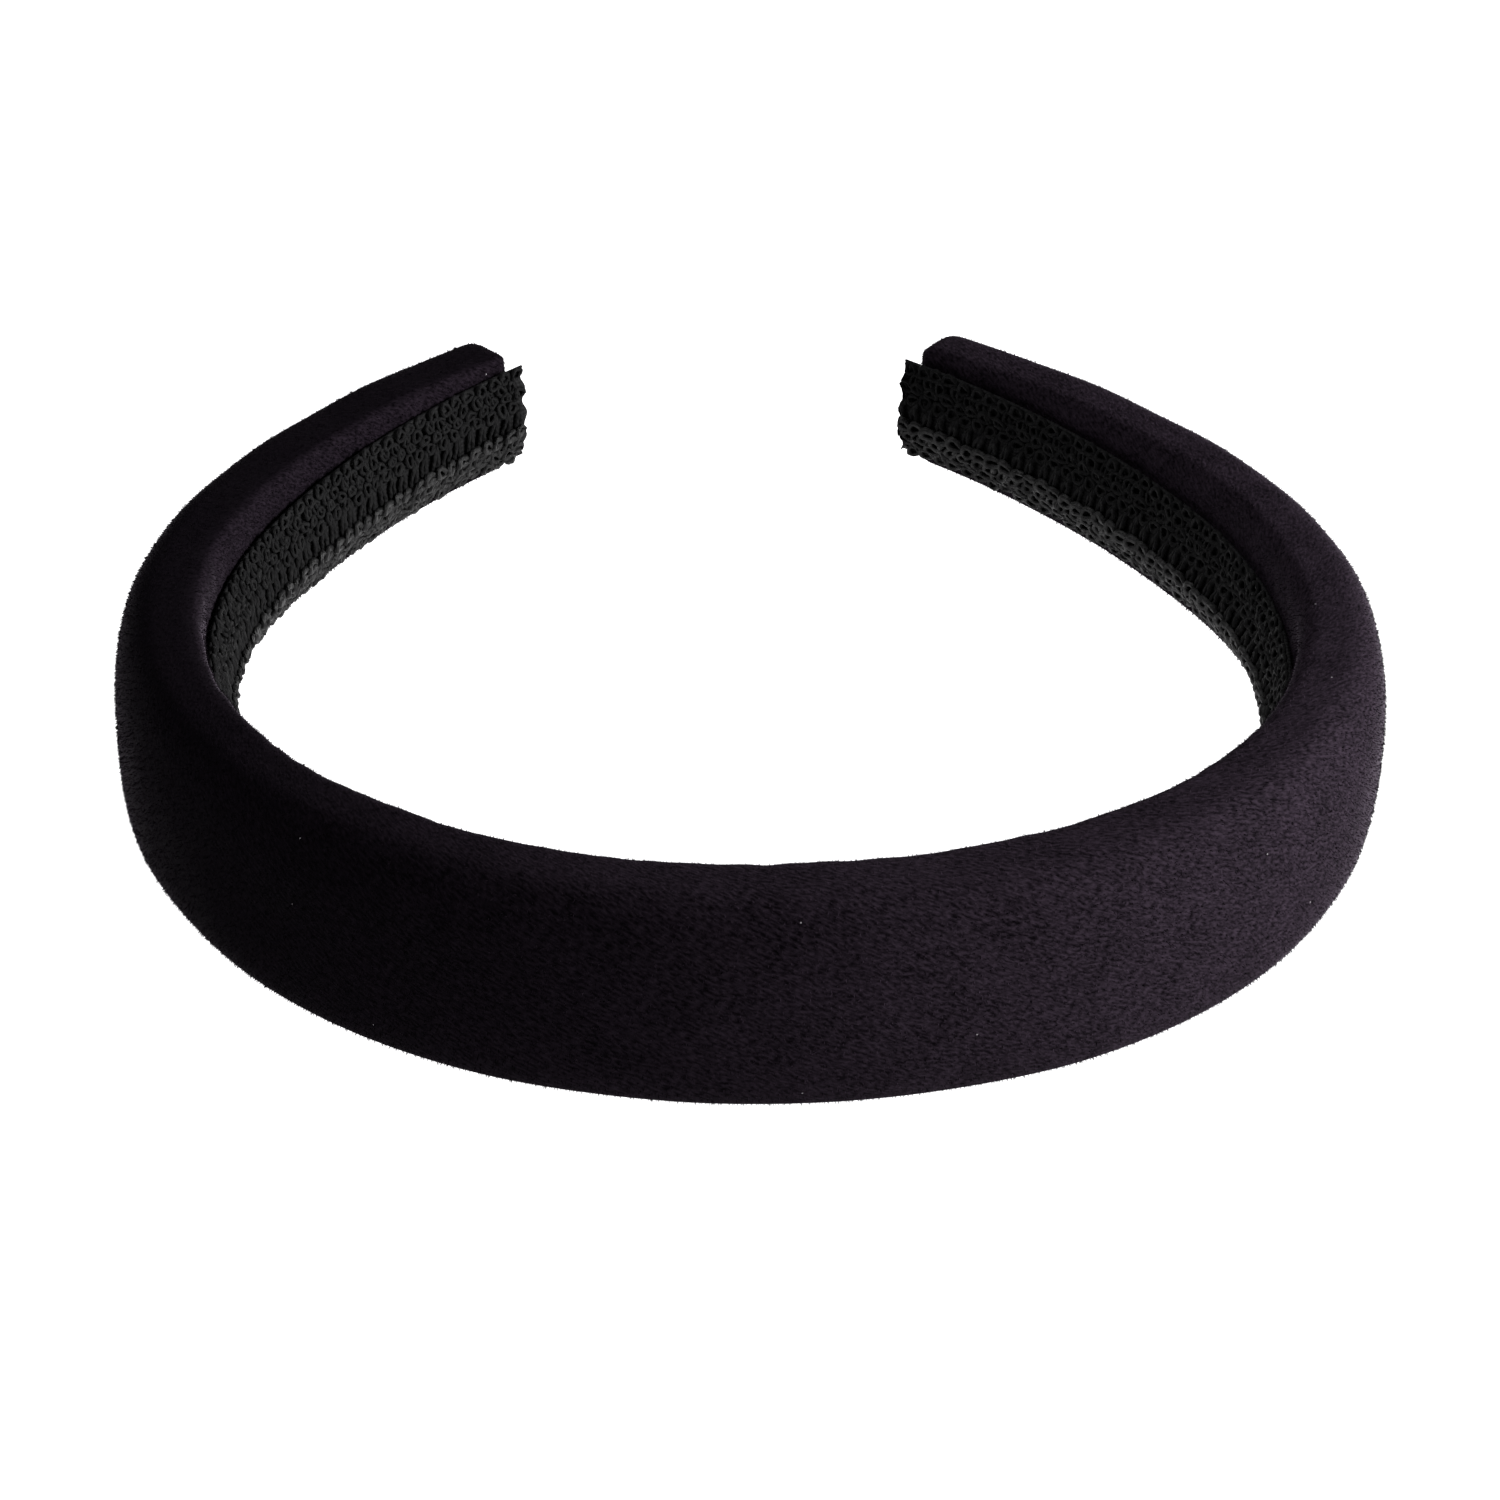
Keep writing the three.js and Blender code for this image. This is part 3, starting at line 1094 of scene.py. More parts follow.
@dataclass
class VelvetCover:
    """Sleeve of velvet, closed at the tips and open along the head side under the tape."""

    band: PaddedBand
    thickness: float = 1.0 * MM
    turn_in: float = 6 * MM
    step: float = 0.7 * MM
    end_steps: int = 6
    cap_steps: int = 7
    cap_bulge: float = 0.5 * MM
    swell: float = 0.12 * MM
    pucker: float = 0.10 * MM
    pleats: int = 9
    pleat_depth: float = 0.3 * MM
    land_tilt: float = 0.8  # faces flatter than this on the floor side carry no pile
    stretches: tuple = ("left", "crown", "right")
    # where the painted light on the roll starts and over what share it comes in
    rolled_from: float = 0.62  # share of the way to the head side where the roll-over starts
    rolled_over: float = 0.28  # share over which it comes in
    pile: PileTree = field(default_factory=PileTree)

    def shape(self) -> tuple[np.ndarray, np.ndarray, np.ndarray, np.ndarray]:
        """Outer face of the cover as a grid, with its ends drawn to a point.

        Returns:
            s, v, rise and the distance round the section, each rows by columns.
        """
        s, inset = self.band.rows(self.step, 0.0, self.end_steps)
        v, rise = self.band.outline(s, inset)
        s = np.repeat(s[:, None], v.shape[1], axis=1)
        for end in (0, -1):
            caps = self.cap(s[end], v[end], rise[end])
            if end == 0:
                s, v, rise = (np.concatenate([c[::-1], g]) for c, g in zip(caps, (s, v, rise)))
            else:
                s, v, rise = (np.concatenate([g, c]) for c, g in zip(caps, (s, v, rise)))
        step = np.hypot(np.diff(v, axis=1), np.diff(rise, axis=1))
        around = np.concatenate([np.zeros((len(v), 1)), np.cumsum(step, axis=1)], axis=1)
        around -= around[:, [around.shape[1] // 2]]
        return s, v, rise, around

    def cap(self, s: np.ndarray, v: np.ndarray, rise: np.ndarray) -> list[np.ndarray]:
        """Rows that close one end, tucked into pleats round its middle.

        Args:
            s: Length along the spine of the last row's points.
            v: Their distance from the spine.
            rise: Their height above the middle.

        Returns:
            s, v and rise of the cap's rows, from its rim to its middle.
        """
        share = np.linspace(0, 1, self.cap_steps + 1)[1:, None]
        centre = (v.max() + v.min()) / 2
        angle = np.arctan2(rise, (v - centre) * 3)
        fold = np.abs(np.sin(self.pleats * angle / 2)) - 0.6
        out = self.cap_bulge * (1 - (1 - share) ** 2)
        out = out + self.pleat_depth * fold * share * (1 - share) * 4
        return [s + np.sign(s) * out, centre + (v - centre) * (1 - share), rise * (1 - share)]

    def points(self, s: np.ndarray, v: np.ndarray, rise: np.ndarray,
               around: np.ndarray) -> np.ndarray:
        """The grid in the row frame, with the cloth's uneven swelling.

        Args:
            s: Lengths along the spine.
            v: Distances from the spine.
            rise: Heights above the band's middle.
            around: Distances round the section.

        Returns:
            Points, rows by columns by 3.
        """
        middle = self.band.section(s)
        swell = Undulation(3, 14 * MM, 60 * MM).at(s, around)
        gathers = Undulation(5, 3.5 * MM, 9 * MM).at(s, 0.25 * around)
        lean = np.hypot(v, 0.4 * rise) + 1e-9
        head_side = np.clip(-v / middle.inner, 0, 1)
        grow = self.swell * swell + self.pucker * gathers * head_side
        rests = np.clip((rise + middle.middle) / (2 * MM), 0, 1)
        v = v + grow * (v / lean) * rests
        rise = rise + grow * (0.4 * rise / lean) * rests
        return self.band.spine.place(s, v, middle.middle + rise)

    def build(self, effects: Effects) -> None:
        """Makes the cover and its pile.

        Args:
            effects: The shared shader groups.
        """
        finish = VelvetFinish().material(effects)
        s, v, rise, around = self.shape()
        rows, columns = s.shape
        points = self.points(s, v, rise, around).reshape(-1, 3)
        open_s = np.abs(s[:-1, :-1]) < self.band.spine.half - self.turn_in
        column = np.arange(columns - 1)
        in_slot = (column < self.band.slot_steps) | (column >= columns - 1 - self.band.slot_steps)
        quads = grid_faces(rows, columns, ~(open_s & in_slot[None, :]))
        uv = np.stack([s, around], axis=-1).reshape(-1, 2)[quads.ravel()]
        # levels: where the painted light on the roll comes in, on the upper half only
        inward = -v / self.band.section(s).inner
        roll_light = np.clip((inward - self.rolled_from) / self.rolled_over, 0, 1)
        levels = (roll_light * np.clip(rise / (2 * MM), 0, 1)).ravel()
        cover = make_piece("velvet_cover_cloth", points, quads.tolist(), "cloth", uv, levels)
        weld(cover)
        cover.data.materials.append(finish)
        piles = self.grow_pile(points, quads, s.ravel(), levels, FibreFinish().material(effects))
        thicken(cover, self.thickness, -1.0)
        hand_over(cover, Slot.VELVET, "velvet_cover")

    def grow_pile(self, points: np.ndarray, quads: np.ndarray, s: np.ndarray, levels: np.ndarray,
                  finish: bpy.types.Material) -> list[bpy.types.Object]:
        """Stands the pile on the cover's outer face, in stretches along the band.

        Args:
            points: The outer face's points.
            quads: Its faces.
            s: Length along the spine of each point.
            levels: Head-side level of each point.
            finish: The tufts' material.

        Returns:
            One piece of pile for each stretch, as plain meshes.
        """
        group = self.pile.group()
        middle = s[quads].mean(axis=1)
        corner = points[quads]
        facing = np.cross(corner[:, 2] - corner[:, 0], corner[:, 3] - corner[:, 1])
        area = np.linalg.norm(facing, axis=1) + 1e-12
        clear_of_floor = np.abs(facing[:, 2]) < self.land_tilt * area
        clear_of_floor |= corner[:, :, 2].mean(axis=1) > self.band.height.tip / 3
        cuts = np.linspace(s.min(), s.max(), len(self.stretches) + 1)
        piles = []
        for number, name in enumerate(self.stretches):
            inside = (middle >= cuts[number]) & (middle <= cuts[number + 1]) & clear_of_floor
            used, faces = np.unique(quads[inside], return_inverse=True)
            pile = make_piece("velvet_pile_" + name, points[used], faces.reshape(-1, 4).tolist(),
                              levels=levels[used])
            weld(pile)
            values = {"Seed": self.pile.seed + number, "Density": self.pile.density,
                      "Material": finish}
            piles.append(hand_over(run_tree(pile, group, values), Slot.VELVET))
        return piles


# ---------------------------------------------------------------- foam pad and core band


@dataclass
class FoamPad:
    """Foam round the core band, with a pocket for it that is open on the head side."""

    band: PaddedBand
    inset: float = 1.5 * MM
    core_thickness: float = 1.8 * MM
    core_setback: float = 5 * MM
    clearance: float = 0.3 * MM
    fill: float = 0.9  # share of its space that the foam takes up
    step: float = 1.6 * MM
    end_steps: int = 4

    def build(self) -> None:
        """Makes the pad."""
        s, inset = self.band.rows(self.step, self.inset, self.end_steps)
        v, rise = self.band.outline(s, inset)
        size = self.band.section(s)
        pocket = np.abs(s) < self.band.spine.half - self.core_setback + self.clearance
        floor = -(size.inner - self.inset - self.core_thickness - self.clearance)
        half_pocket = size.flat + self.clearance
        v = np.where(pocket[:, None] & (np.abs(rise) < half_pocket[:, None]) & (v < 0),
                     floor[:, None], v)
        along = np.repeat(s[:, None], v.shape[1], 1)
        swell = 0.1 * MM * Undulation(8, 10 * MM, 40 * MM).at(along, rise)
        rows, columns = v.shape
        points = self.band.spine.place(s[:, None] + 0 * v, v - np.abs(swell) * (v > 0),
                                       size.middle[:, None] + rise).reshape(-1, 3)
        last = (rows - 1) * columns
        faces = grid_faces(rows, columns).tolist()
        faces += [list(range(columns - 1)), list(range(last, rows * columns - 1))[::-1]]
        pad = make_piece("foam_pad_soft", points, faces)
        weld(pad)
        pad.data.materials.append(FoamFinish().material())
        hand_over(pad, Slot.FOAM, "foam_pad")


@dataclass
class CoreBand:
    """Sprung plastic hoop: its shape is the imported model's."""

    node: str = "core_band"

    def dress(self) -> None:
        """Gives the core its finish."""
        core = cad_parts[self.node]
        core.data.materials.clear()
        core.data.materials.append(PlasticFinish().material())
        log.info("%s: dressed", self.node)


# ---------------------------------------------------------------- lining tape


@dataclass(frozen=True)
class Thread:
    """A stretch of thread in the flat tape: along it, across it and out of it, in metres."""

    path: np.ndarray
    radius: float
    closed: bool = False

    def tube(self, sides: int = 5) -> tuple[np.ndarray, list, list]:
        """The thread as a tube.

        Args:
            sides: Sides of the tube.

        Returns:
            Its points, its faces and the map of each face corner.
        """
        path = self.path
        ahead = np.roll(path, -1, axis=0) - np.roll(path, 1, axis=0)
        if not self.closed:
            ahead[0], ahead[-1] = path[1] - path[0], path[-1] - path[-2]
        ahead /= np.linalg.norm(ahead, axis=1)[:, None]
        side = np.cross(ahead, (0.0, 0.0, 1.0))
        side /= np.linalg.norm(side, axis=1)[:, None]
        up = np.cross(side, ahead)
        angle = np.arange(sides) * 2 * math.pi / sides
        ring = (np.cos(angle)[None, :, None] * side[:, None]
                + np.sin(angle)[None, :, None] * up[:, None])
        points = (path[:, None] + self.radius * ring).reshape(-1, 3)
        count = len(path)
        length = np.concatenate([[0], np.cumsum(np.linalg.norm(np.diff(path, axis=0), axis=1))])
        length = np.append(length, length[-1] + np.linalg.norm(path[0] - path[-1]))
        faces, uv = [], []
        for i in range(count if self.closed else count - 1):
            for j in range(sides):
                k, m = (i + 1) % count, (j + 1) % sides
                faces.append([i * sides + j, i * sides + m, k * sides + m, k * sides + j])
                near, far = length[i], length[i + 1]
                a, b = j / sides, (j + 1) / sides
                uv += [(near, a), (near, b), (far, b), (far, a)]
        if not self.closed:
            last = (count - 1) * sides
            faces += [list(range(sides))[::-1], list(range(last, last + sides))]
            uv += [(0, 0)] * sides + [(length[count - 1], 0)] * sides
        return points, faces, uv


@dataclass(frozen=True)
class Stitch:
    """A closed almond-shaped stitch; lengths in millimetres."""

    across: float  # height of its middle on the tape
    shift: float  # along the tape, as a share of a course
    long: float
    wide: float
    radius: float
    slant: float  # turn of its axis from the tape's length, in radians
    lift: float  # height of its middle over the ground
    dip: float  # how much lower its back end lies than its front end
    uneven: float = 0.22
    steps: int = 16

    def thread(self, at: float, pitch: float, draw: np.random.Generator) -> Thread:
        """The stitch as a thread in the flat tape.

        Args:
            at: Where its course is along the tape.
            pitch: Length of a course.
            draw: Random numbers that make it differ from the next one.

        Returns:
            The thread.
        """
        off_u, off_w, size, turn, rise = draw.uniform(-1, 1, 5)
        angle = np.arange(self.steps) * 2 * math.pi / self.steps
        u = self.long / 2 * (1 + 0.14 * size) * np.cos(angle)
        w = self.wide / 2 * (1 - 0.12 * size) * np.sin(angle) * (1 + 0.35 * np.cos(angle))
        h = self.lift * (1 + 0.4 * rise) + self.dip / 2 * np.cos(angle)
        slant = self.slant + self.uneven * turn
        along = u * math.cos(slant) - w * math.sin(slant) + self.uneven * off_u
        rise_on_tape = self.across + u * math.sin(slant) + w * math.cos(slant) + self.uneven * off_w
        path = MM * np.stack([along, rise_on_tape, h], axis=1)
        return Thread(path + (at + self.shift * pitch, 0, 0), self.radius * MM, closed=True)


@dataclass(frozen=True)
class Strand:
    """A strand that crosses the tape; lengths in millimetres, ends as (course share, height)."""

    start: tuple
    end: tuple
    radius: float
    bow: float  # sideways bend, as an S
    arch: float  # height of its middle over its ends
    uneven: float = 0.14
    steps: int = 9

    def thread(self, at: float, pitch: float, draw: np.random.Generator) -> Thread:
        """The strand as a thread in the flat tape.

        Args:
            at: Where its course is along the tape.
            pitch: Length of a course.
            draw: Random numbers that make it differ from the next one.

        Returns:
            The thread.
        """
        near, far, low, bend = draw.uniform(-1, 1, 4)
        share = np.linspace(0, 1, self.steps)
        u0, u1 = (end[0] * pitch / MM + self.uneven * off
                  for end, off in ((self.start, near), (self.end, far)))
        w0, w1 = self.start[1], self.end[1] + self.uneven * low
        u = u0 + (u1 - u0) * share + self.bow * (1 + bend) * np.sin(2 * math.pi * share)
        w = w0 + (w1 - w0) * share
        h = 0.05 + self.arch * np.sin(math.pi * share)
        return Thread(MM * np.stack([u, w, h], axis=1) + (at, 0, 0), self.radius * MM)


@dataclass(frozen=True)
class KnitTree:
    """Geometry Nodes that repeat a unit of threads along the tape and lay it on the band."""

    loosen: float = 0.9 * MM
    loosen_size: float = 2.6 * MM
    fuzz: float = 0.42 * MM
    fuzz_size: float = 0.5 * MM
    map_edge: float = 0.0005  # share of the guide's map that is kept clear at its ends
    seed: int = 21

    def group(self, name: str) -> Group:
        """Builds the tree.

        Args:
            name: The group's name.

        Returns:
            The group, with the tape's sizes as named inputs.
        """
        group = Group(
            name, "GeometryNodeTree",
            {
                "Unit": (GEOMETRY, None),
                "Guide": (OBJECT, None),
                "Units": (INTEGER, 10),
                "Pitch": (FLOAT, 2 * MM),
                "Length": (FLOAT, 1.0),
                "Width": (FLOAT, 1.0),
                "Loosen": (FLOAT, self.loosen),
                "Fuzz": (FLOAT, self.fuzz),
                "Seed": (INTEGER, self.seed),
                "Material": (MATERIAL, None),
            },
            {"Knit": GEOMETRY},
        )
        taken = group.taken
        first = group.math("MULTIPLY", group.math("SUBTRACT", taken["Pitch"], taken["Length"]), 0.5)
        line = group.add("GeometryNodeMeshLine",
                         {"Count": taken["Units"], "Start Location": group.xyz(X=first),
                          "Offset": group.xyz(X=taken["Pitch"])})
        many = group.add("GeometryNodeInstanceOnPoints",
                         {"Points": line.outputs[0], "Instance": taken["Unit"]})
        flat = group.add("GeometryNodeRealizeInstances", {0: many.outputs[0]})
        place = group.add("GeometryNodeInputPosition").outputs[0]
        waver = group.vector_math(
            "ADD", self.waver(group, place, taken["Seed"], self.loosen_size, taken["Loosen"]),
            self.waver(group, place, taken["Seed"], self.fuzz_size, taken["Fuzz"]))
        spot = group.parts(group.vector_math("ADD", place, waver))
        across = self.share(group, spot["Y"], taken["Width"])
        along = self.share(group, spot["X"], taken["Length"])
        at = group.xyz(X=along, Y=across)
        guide = group.add("GeometryNodeObjectInfo", {"Object": taken["Guide"]}).outputs["Geometry"]
        uv = group.add("GeometryNodeInputNamedAttribute", {"Name": "flat"},
                       data_type="FLOAT_VECTOR").outputs["Attribute"]
        ground = self.sample(group, guide, uv, at, place)
        normal = self.sample(group, guide, uv, at, group.add("GeometryNodeInputNormal").outputs[0])
        position = group.vector_math("ADD", ground, group.scaled(normal, spot["Z"]))
        laid = group.add("GeometryNodeSetPosition",
                         {"Geometry": flat.outputs[0], "Position": position})
        smooth = group.add("GeometryNodeSetShadeSmooth", {"Geometry": laid.outputs[0]})
        real = group.add("GeometryNodeRealizeInstances", {0: smooth.outputs[0]})
        dressed = group.add("GeometryNodeSetMaterial",
                            {"Geometry": real.outputs[0], "Material": taken["Material"]})
        group.give("Knit", dressed.outputs[0])
        return group

    @staticmethod
    def waver(group: Group, place: object, seed: object, size: float,
              amount: object) -> bpy.types.NodeSocket:
        """Smooth random shifts.

        Args:
            group: The tree.
            place: Where the shift is for.
            seed: Seed of the noise.
            size: Length over which the shift changes.
            amount: Whole range of the shift.

        Returns:
            The shift's socket.
        """
        shifted = group.vector_math("ADD", place, group.xyz(X=seed))
        noise = group.add("ShaderNodeTexNoise", {"Vector": shifted, "Scale": 1 / size,
                                                 "Detail": 1.0}).outputs["Color"]
        return group.scaled(group.vector_math("SUBTRACT", noise, (0.5, 0.5, 0.5)), amount)

    def share(self, group: Group, at: object, whole: object) -> bpy.types.NodeSocket:
        """A distance from the middle as a share of the whole, kept just inside its ends.

        Args:
            group: The tree.
            at: The distance.
            whole: The whole length.

        Returns:
            The share's socket.
        """
        share = group.math("ADD", group.math("DIVIDE", at, whole), 0.5)
        return group.math("MINIMUM", group.math("MAXIMUM", share, self.map_edge),
                          1 - self.map_edge)

    @staticmethod
    def sample(group: Group, guide: object, uv: object, at: object,
               value: object) -> bpy.types.NodeSocket:
        """A value of the guide where its map says.

        Args:
            group: The tree.
            guide: The guide's geometry.
            uv: The guide's map.
            at: Where on the map.
            value: What to read there.

        Returns:
            The value's socket.
        """
        return group.add("GeometryNodeSampleUVSurface",
                         {"Mesh": guide, "Value": value, "UV Map": uv, "Sample UV": at},
                         data_type="FLOAT_VECTOR").outputs["Value"]


@dataclass
class LiningTape:
    """Knitted braid glued along the head side: a ground and the threads that stand on it."""

    band: PaddedBand
    width: float = 13.5 * MM
    drawn_width: float = 15 * MM  # width that a course of stitches is drawn at
    sink: float = 2.0 * MM  # how far below the band's middle it runs, but for the tips
    overhang: float = 1.2 * MM
    tooth_pitch: float = 3.4 * MM
    tooth_depth: float = 0.7 * MM
    ground_width: float = 12.6 * MM
    ground_thickness: float = 0.35 * MM
    lift: float = 0.35 * MM  # velvet to the ground's near face
    ridge_at: float = -2.0 * MM
    ridge_height: float = 2.0 * MM
    ridge_loss: float = 0.5  # share of the ridge that is gone at the tips
    ridge_fade: int = 6  # the higher, the nearer to the tips it goes
    columns: int = 33  # points across a sheet
    end_reach: float = 3 * MM  # length over which the teeth fade out
    course: float = 2.3 * MM
    step: float = 1.2 * MM
    margin: float = 2 * MM  # drawn width beyond both edges, for stitches that stray
    repeat: int = 4  # courses in the repeated unit
    upper: tuple = (
        Stitch(6.35, 0.0, 1.75, 1.45, 0.31, 0.2, 0.20, 0.2),
        Stitch(4.90, 0.5, 1.80, 1.40, 0.31, -0.3, 0.28, 0.3),
        Stitch(3.45, 0.1, 1.70, 1.30, 0.31, 0.4, 0.28, 0.3),
        Stitch(2.00, 0.6, 1.75, 1.35, 0.31, -0.4, 0.26, 0.3),
        Strand((0.4, 5.6), (0.1, 2.8), 0.28, 0.15, 0.30),
        Strand((0.0, 1.9), (0.38, -1.7), 0.42, 0.20, 0.20),
        Strand((0.26, 1.7), (0.62, -1.7), 0.38, -0.14, 0.16),
    )
    lower: tuple = (
        Stitch(-2.20, 0.0, 2.30, 1.20, 0.40, 0.25, 0.40, 0.5),
        Stitch(-3.80, 0.5, 2.30, 1.20, 0.34, -0.6, 0.22, 0.3),
        Stitch(-5.20, 0.0, 2.30, 1.15, 0.33, 0.5, 0.20, 0.3),
        Stitch(-6.50, 0.5, 2.00, 1.20, 0.32, -0.2, 0.15, 0.2),
        Strand((0.0, -2.7), (0.6, -4.3), 0.28, 0.10, 0.25),
        Strand((0.5, -4.8), (0.2, -6.6), 0.28, 0.10, 0.20),
    )
    knit: KnitTree = field(default_factory=KnitTree)

    @property
    def reach(self) -> float:
        """Half the tape's length."""
        return self.band.spine.half + self.overhang

    def lay(self, s: np.ndarray, across: np.ndarray, above: float) -> np.ndarray:
        """Points of the tape in the row frame.

        Args:
            s: Lengths along the tape.
            across: Distances up from its middle.
            above: Height over the velvet.

        Returns:
            Points, with x, y and z in the last axis.
        """
        edge = np.where(across > self.ridge_at, self.width / 2, -self.width / 2)
        ridge = self.ridge_height * np.clip((edge - across) / (edge - self.ridge_at), 0, 1)
        along = np.clip(np.abs(s) / self.band.spine.half, 0, 1)
        ridge = ridge * (1 - self.ridge_loss * along ** self.ridge_fade)
        rise = across - self.sink * (1 - along ** 2)
        v = -(self.band.head_side(s, rise) + above + ridge)
        teeth = round(self.width / self.tooth_pitch)
        tooth = np.abs(((across / self.width + 0.5) * teeth) % 1 - 0.5) * 2
        tooth = tooth ** 2 * (3 - 2 * tooth)
        near_end = np.clip((np.abs(s) - self.reach + self.end_reach) / self.end_reach, 0, 1)
        cut = s - np.sign(s) * self.tooth_depth * (1 - tooth) * near_end
        return self.band.spine.place(cut, v, self.band.section(s).middle + rise)

    def sheet(self, name: str, width: float, above: float, uv_name: str,
              unit_map: bool) -> bpy.types.Object:
        """A single-faced sheet along the tape, facing the head.

        Args:
            name: The sheet's name.
            width: Its width.
            above: Its height over the velvet.
            uv_name: Its map's name.
            unit_map: Whether the map runs from 0 to 1 rather than in metres.

        Returns:
            The sheet.
        """
        s = np.linspace(-self.reach, self.reach, 2 * round(self.reach / self.step) + 1)
        across = np.linspace(-width / 2, width / 2, self.columns)
        s, across = np.meshgrid(s, across, indexing="ij")
        points = self.lay(s, across, above).reshape(-1, 3)
        quads = grid_faces(*s.shape)[:, ::-1]
        uv = np.stack([s, across], axis=-1)
        if unit_map:
            uv = uv / (2 * self.reach, width) + 0.5
        return make_piece(name, points, quads.tolist(), uv_name, uv.reshape(-1, 2)[quads.ravel()])

    def courses(self, stitches: tuple) -> list[Thread]:
        """A few courses of stitches side by side, none quite like the next.

        Args:
            stitches: The stitches or strands of one course.

        Returns:
            Their threads.
        """
        draw = np.random.default_rng(self.knit.seed)
        first = -(self.repeat - 1) / 2
        return [stitch.thread((first + number) * self.course, self.course, draw)
                for number in range(self.repeat) for stitch in stitches]

    def unit(self, name: str, threads: list[Thread]) -> bpy.types.Object:
        """A unit of threads as an object in the flat.

        Args:
            name: The object's name.
            threads: Its threads.

        Returns:
            The object.
        """
        points, faces, uv, count = [], [], [], 0
        for thread in threads:
            tube, tube_faces, tube_uv = thread.tube()
            faces += [[count + i for i in face] for face in tube_faces]
            points.append(tube)
            uv += tube_uv
            count += len(tube)
        return make_piece(name, np.concatenate(points), faces, "thread", np.array(uv))

    def knit_piece(self, name: str, threads: list[Thread], guide: bpy.types.Object,
                   finish: bpy.types.Material) -> bpy.types.Object:
        """Repeats a unit of threads along the whole tape.

        Args:
            name: The piece's name.
            threads: The unit's threads.
            guide: The sheet that the threads are laid on.
            finish: The threads' material.

        Returns:
            The piece, as a plain mesh.
        """
        piece = self.unit(name, threads)
        group = self.knit.group(name + "_courses")
        units = round(2 * self.reach / (self.course * self.repeat))
        values = {
            "Guide": guide,
            "Units": units,
            "Pitch": 2 * self.reach / units,
            "Length": 2 * self.reach,
            "Width": self.drawn_width + self.margin,
            "Loosen": self.knit.loosen,
            "Fuzz": self.knit.fuzz,
            "Seed": self.knit.seed,
            "Material": finish,
        }
        return hand_over(run_tree(piece, group, values), Slot.LINING)

    def build(self, effects: Effects) -> None:
        """Makes the tape.

        Args:
            effects: The shared shader groups.
        """
        guide_width = self.width * (1 + self.margin / self.drawn_width)
        guide = self.sheet("tape_guide", guide_width, self.lift + self.ground_thickness,
                           "flat", True)
        ground = self.sheet("lining_tape_ground", self.ground_width, self.lift, "cloth", False)
        ground.data.materials.append(KnitGroundFinish().material())
        thicken(ground, self.ground_thickness, 1.0)
        hand_over(ground, Slot.LINING, "lining_tape")
        upper = self.knit_piece("lining_tape_upper", self.courses(self.upper), guide,
                                DULL_THREAD.material(effects))
        lower = self.knit_piece("lining_tape_lower", self.courses(self.lower), guide,
                                BOUNCE_LIT_THREAD.material(effects))
        bpy.data.objects.remove(guide)


# ---------------------------------------------------------------- studio


def towards(azimuth: float, elevation: float) -> Vector:
    """A direction, of length 1.

    Args:
        azimuth: Degrees from -Y towards +X.
        elevation: Degrees up from level.

    Returns:
        The direction.
    """
    way, up = math.radians(azimuth), math.radians(elevation)
    return Vector((math.sin(way) * math.cos(up), -math.cos(way) * math.cos(up), math.sin(up)))


@dataclass(frozen=True)
class Softbox:
    """A square soft light."""

    name: str
    azimuth: float  # degrees from -Y towards +X
    elevation: float  # degrees
    distance: float
    size: float
    power: float
    colour: tuple = (1.0, 1.0, 1.0)

    def hang(self, aim: Vector) -> None:
        """Hangs the light.

        Args:
            aim: The point that it faces.
        """
        lamp = bpy.data.lights.new(self.name, "AREA")
        lamp.size, lamp.energy, lamp.color = self.size, self.power, self.colour
        light = bpy.data.objects.new(self.name, lamp)
        away = towards(self.azimuth, self.elevation)
        light.location = aim + self.distance * away
        light.rotation_euler = away.to_track_quat("Z", "Y").to_euler()
        bpy.context.scene.collection.objects.link(light)


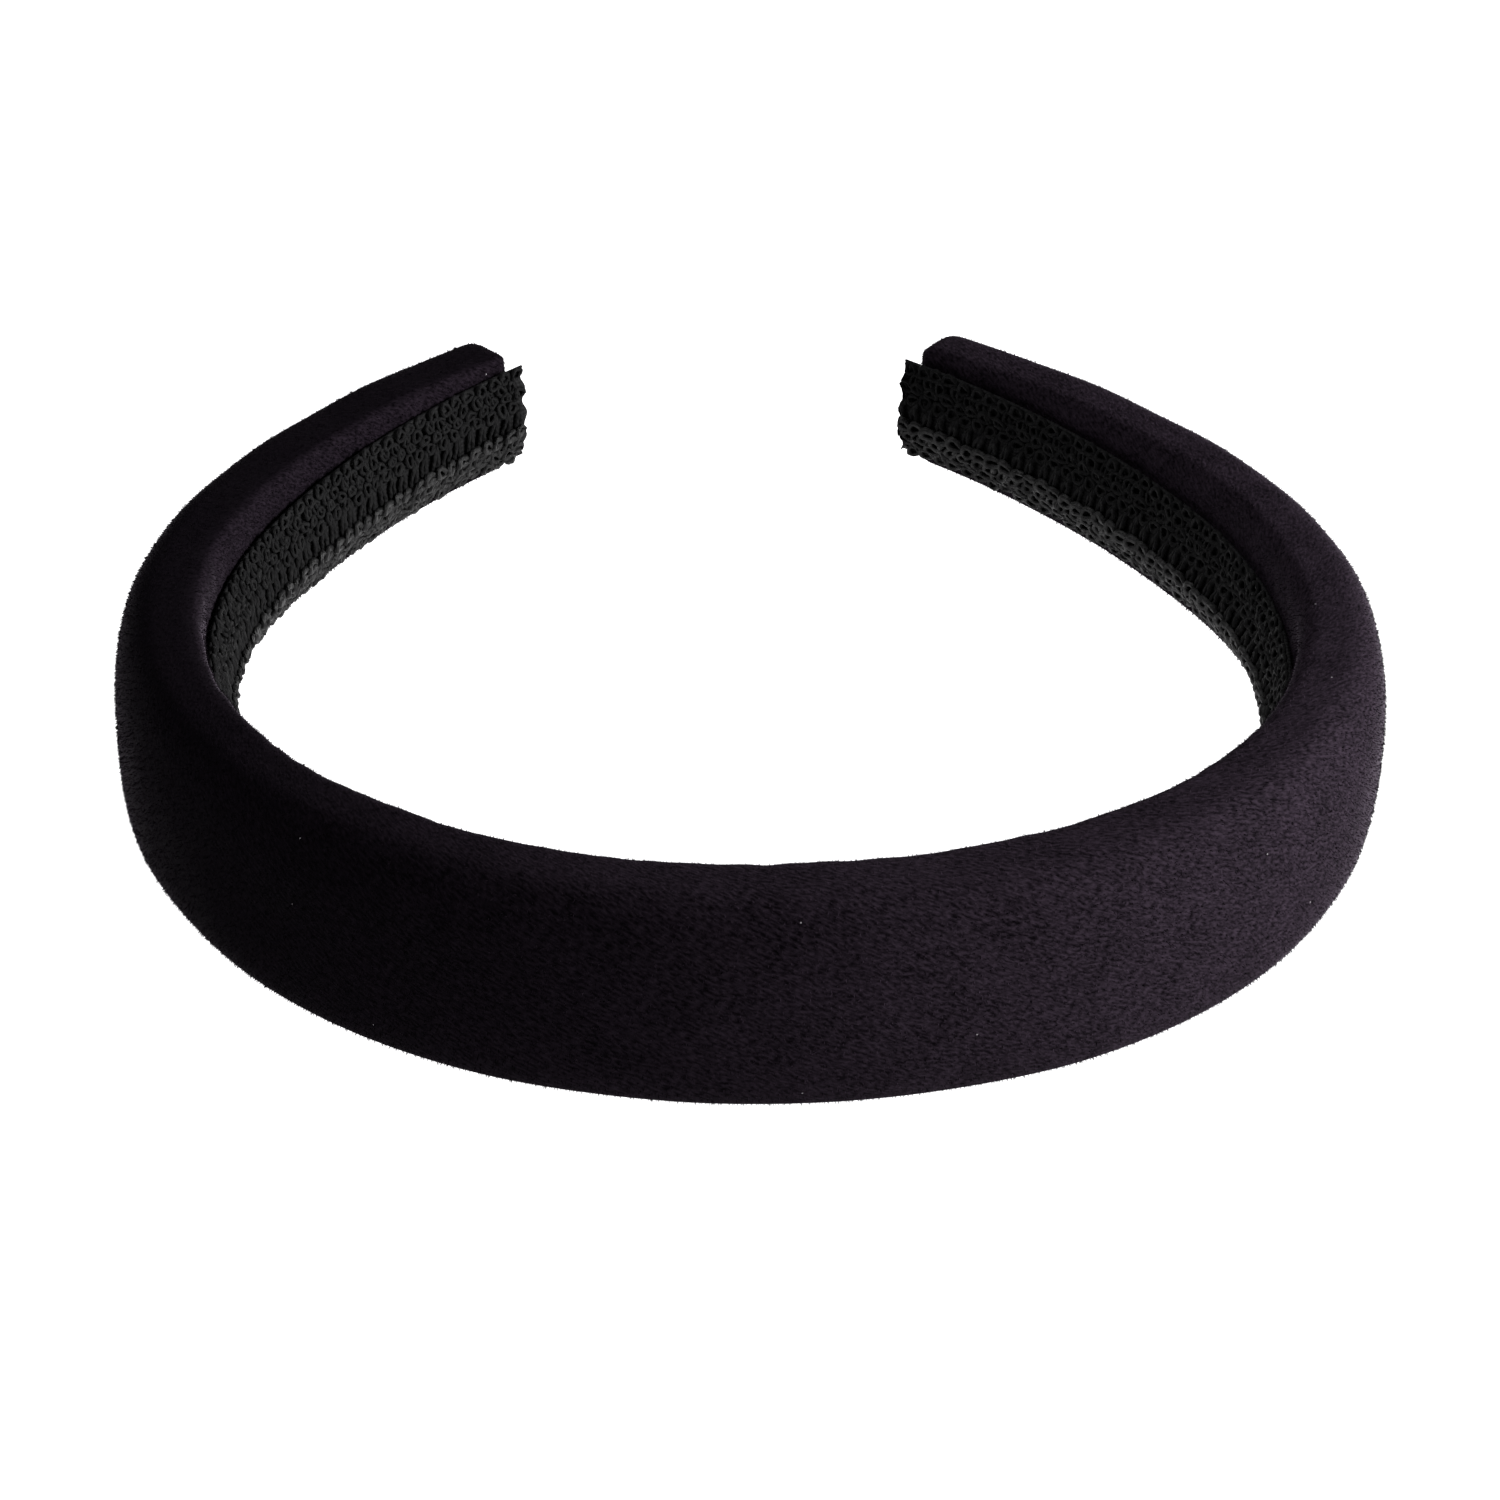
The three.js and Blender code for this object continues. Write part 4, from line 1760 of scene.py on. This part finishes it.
@dataclass
class Studio:
    """Pale floor, soft light and the camera."""

    aim_depth: float = 60 * MM  # from the crown's middle to the point that the camera faces
    azimuth: float = -4.213  # the camera's, in degrees from -Y towards +X
    elevation: float = 32.673
    roll: float = 1.151
    distance: float = 0.74008
    sensor: float = 36.0  # its width in millimetres, as the lens is
    lens: float = 151.055
    shift: tuple = (-0.0002, 0.02624)
    floor_size: float = 6.0
    floor_gap: float = 0.3 * MM  # how far it lies below the band
    floor_colour: tuple = (0.15, 0.15, 0.15, 1.0)
    floor_glow: float = 1.5
    fill: float = 0.03
    boxes: tuple = (
        Softbox("key_right", 80.0, 12.0, 0.7, 0.5, 30.0),
        Softbox("back_left", -125.0, 62.0, 1.0, 0.8, 11.0),
    )

    def build(self, spine: Spine) -> None:
        """Sets the studio up.

        Args:
            spine: The hoop's middle line.
        """
        aim = Vector((0.0, spine.start + self.aim_depth, 0.0))
        self.lay_floor()
        for box in self.boxes:
            box.hang(aim)
        world = bpy.data.worlds.new("studio")
        world.use_nodes = True
        sky = world.node_tree.nodes["Background"]
        sky.inputs["Color"].default_value = (1.0, 1.0, 1.0, 1.0)
        sky.inputs["Strength"].default_value = self.fill
        bpy.context.scene.world = world
        bpy.context.scene.view_settings.view_transform = "Standard"
        self.set_camera(aim)

    def lay_floor(self) -> None:
        """Lays the pale floor."""
        half = self.floor_size / 2
        points = np.array([(-half, -half, 0), (half, -half, 0), (half, half, 0), (-half, half, 0)])
        floor = make_piece("floor", points - (0, 0, self.floor_gap), [[0, 1, 2, 3]])
        material, _, shader = blank_material("pale_floor")
        set_shader(shader, base_color=self.floor_colour, roughness=0.9, specular_ior_level=0.1,
                   emission_color=(1.0, 0.99, 1.0, 1.0), emission_strength=self.floor_glow)
        floor.data.materials.append(material)

    def set_camera(self, aim: Vector) -> None:
        """Makes the camera.

        Args:
            aim: The point that it faces.
        """
        camera = bpy.data.cameras.new("camera")
        camera.sensor_width, camera.lens = self.sensor, self.lens
        camera.shift_x, camera.shift_y = self.shift
        view = bpy.data.objects.new("camera", camera)
        away = towards(self.azimuth, self.elevation)
        view.location = aim + self.distance * away
        view.rotation_mode = "QUATERNION"
        turn = Quaternion((0.0, 0.0, 1.0), math.radians(self.roll))
        view.rotation_quaternion = away.to_track_quat("Z", "Y") @ turn
        camera.clip_start, camera.clip_end = 0.01, 20.0
        bpy.context.scene.collection.objects.link(view)
        bpy.context.scene.camera = view


def main() -> None:
    """Builds the headband and its studio."""
    logging.basicConfig(level=logging.INFO, format="%(name)s: %(message)s")
    lowest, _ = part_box("velvet_cover")
    spine = Spine(start=lowest.y + PaddedBand.outer.crown)
    band = PaddedBand(spine)
    effects = Effects()
    Studio().build(spine)
    CoreBand().dress()
    FoamPad(band).build()
    VelvetCover(band).build(effects)
    LiningTape(band).build(effects)


if __name__ == "__main__":
    main()
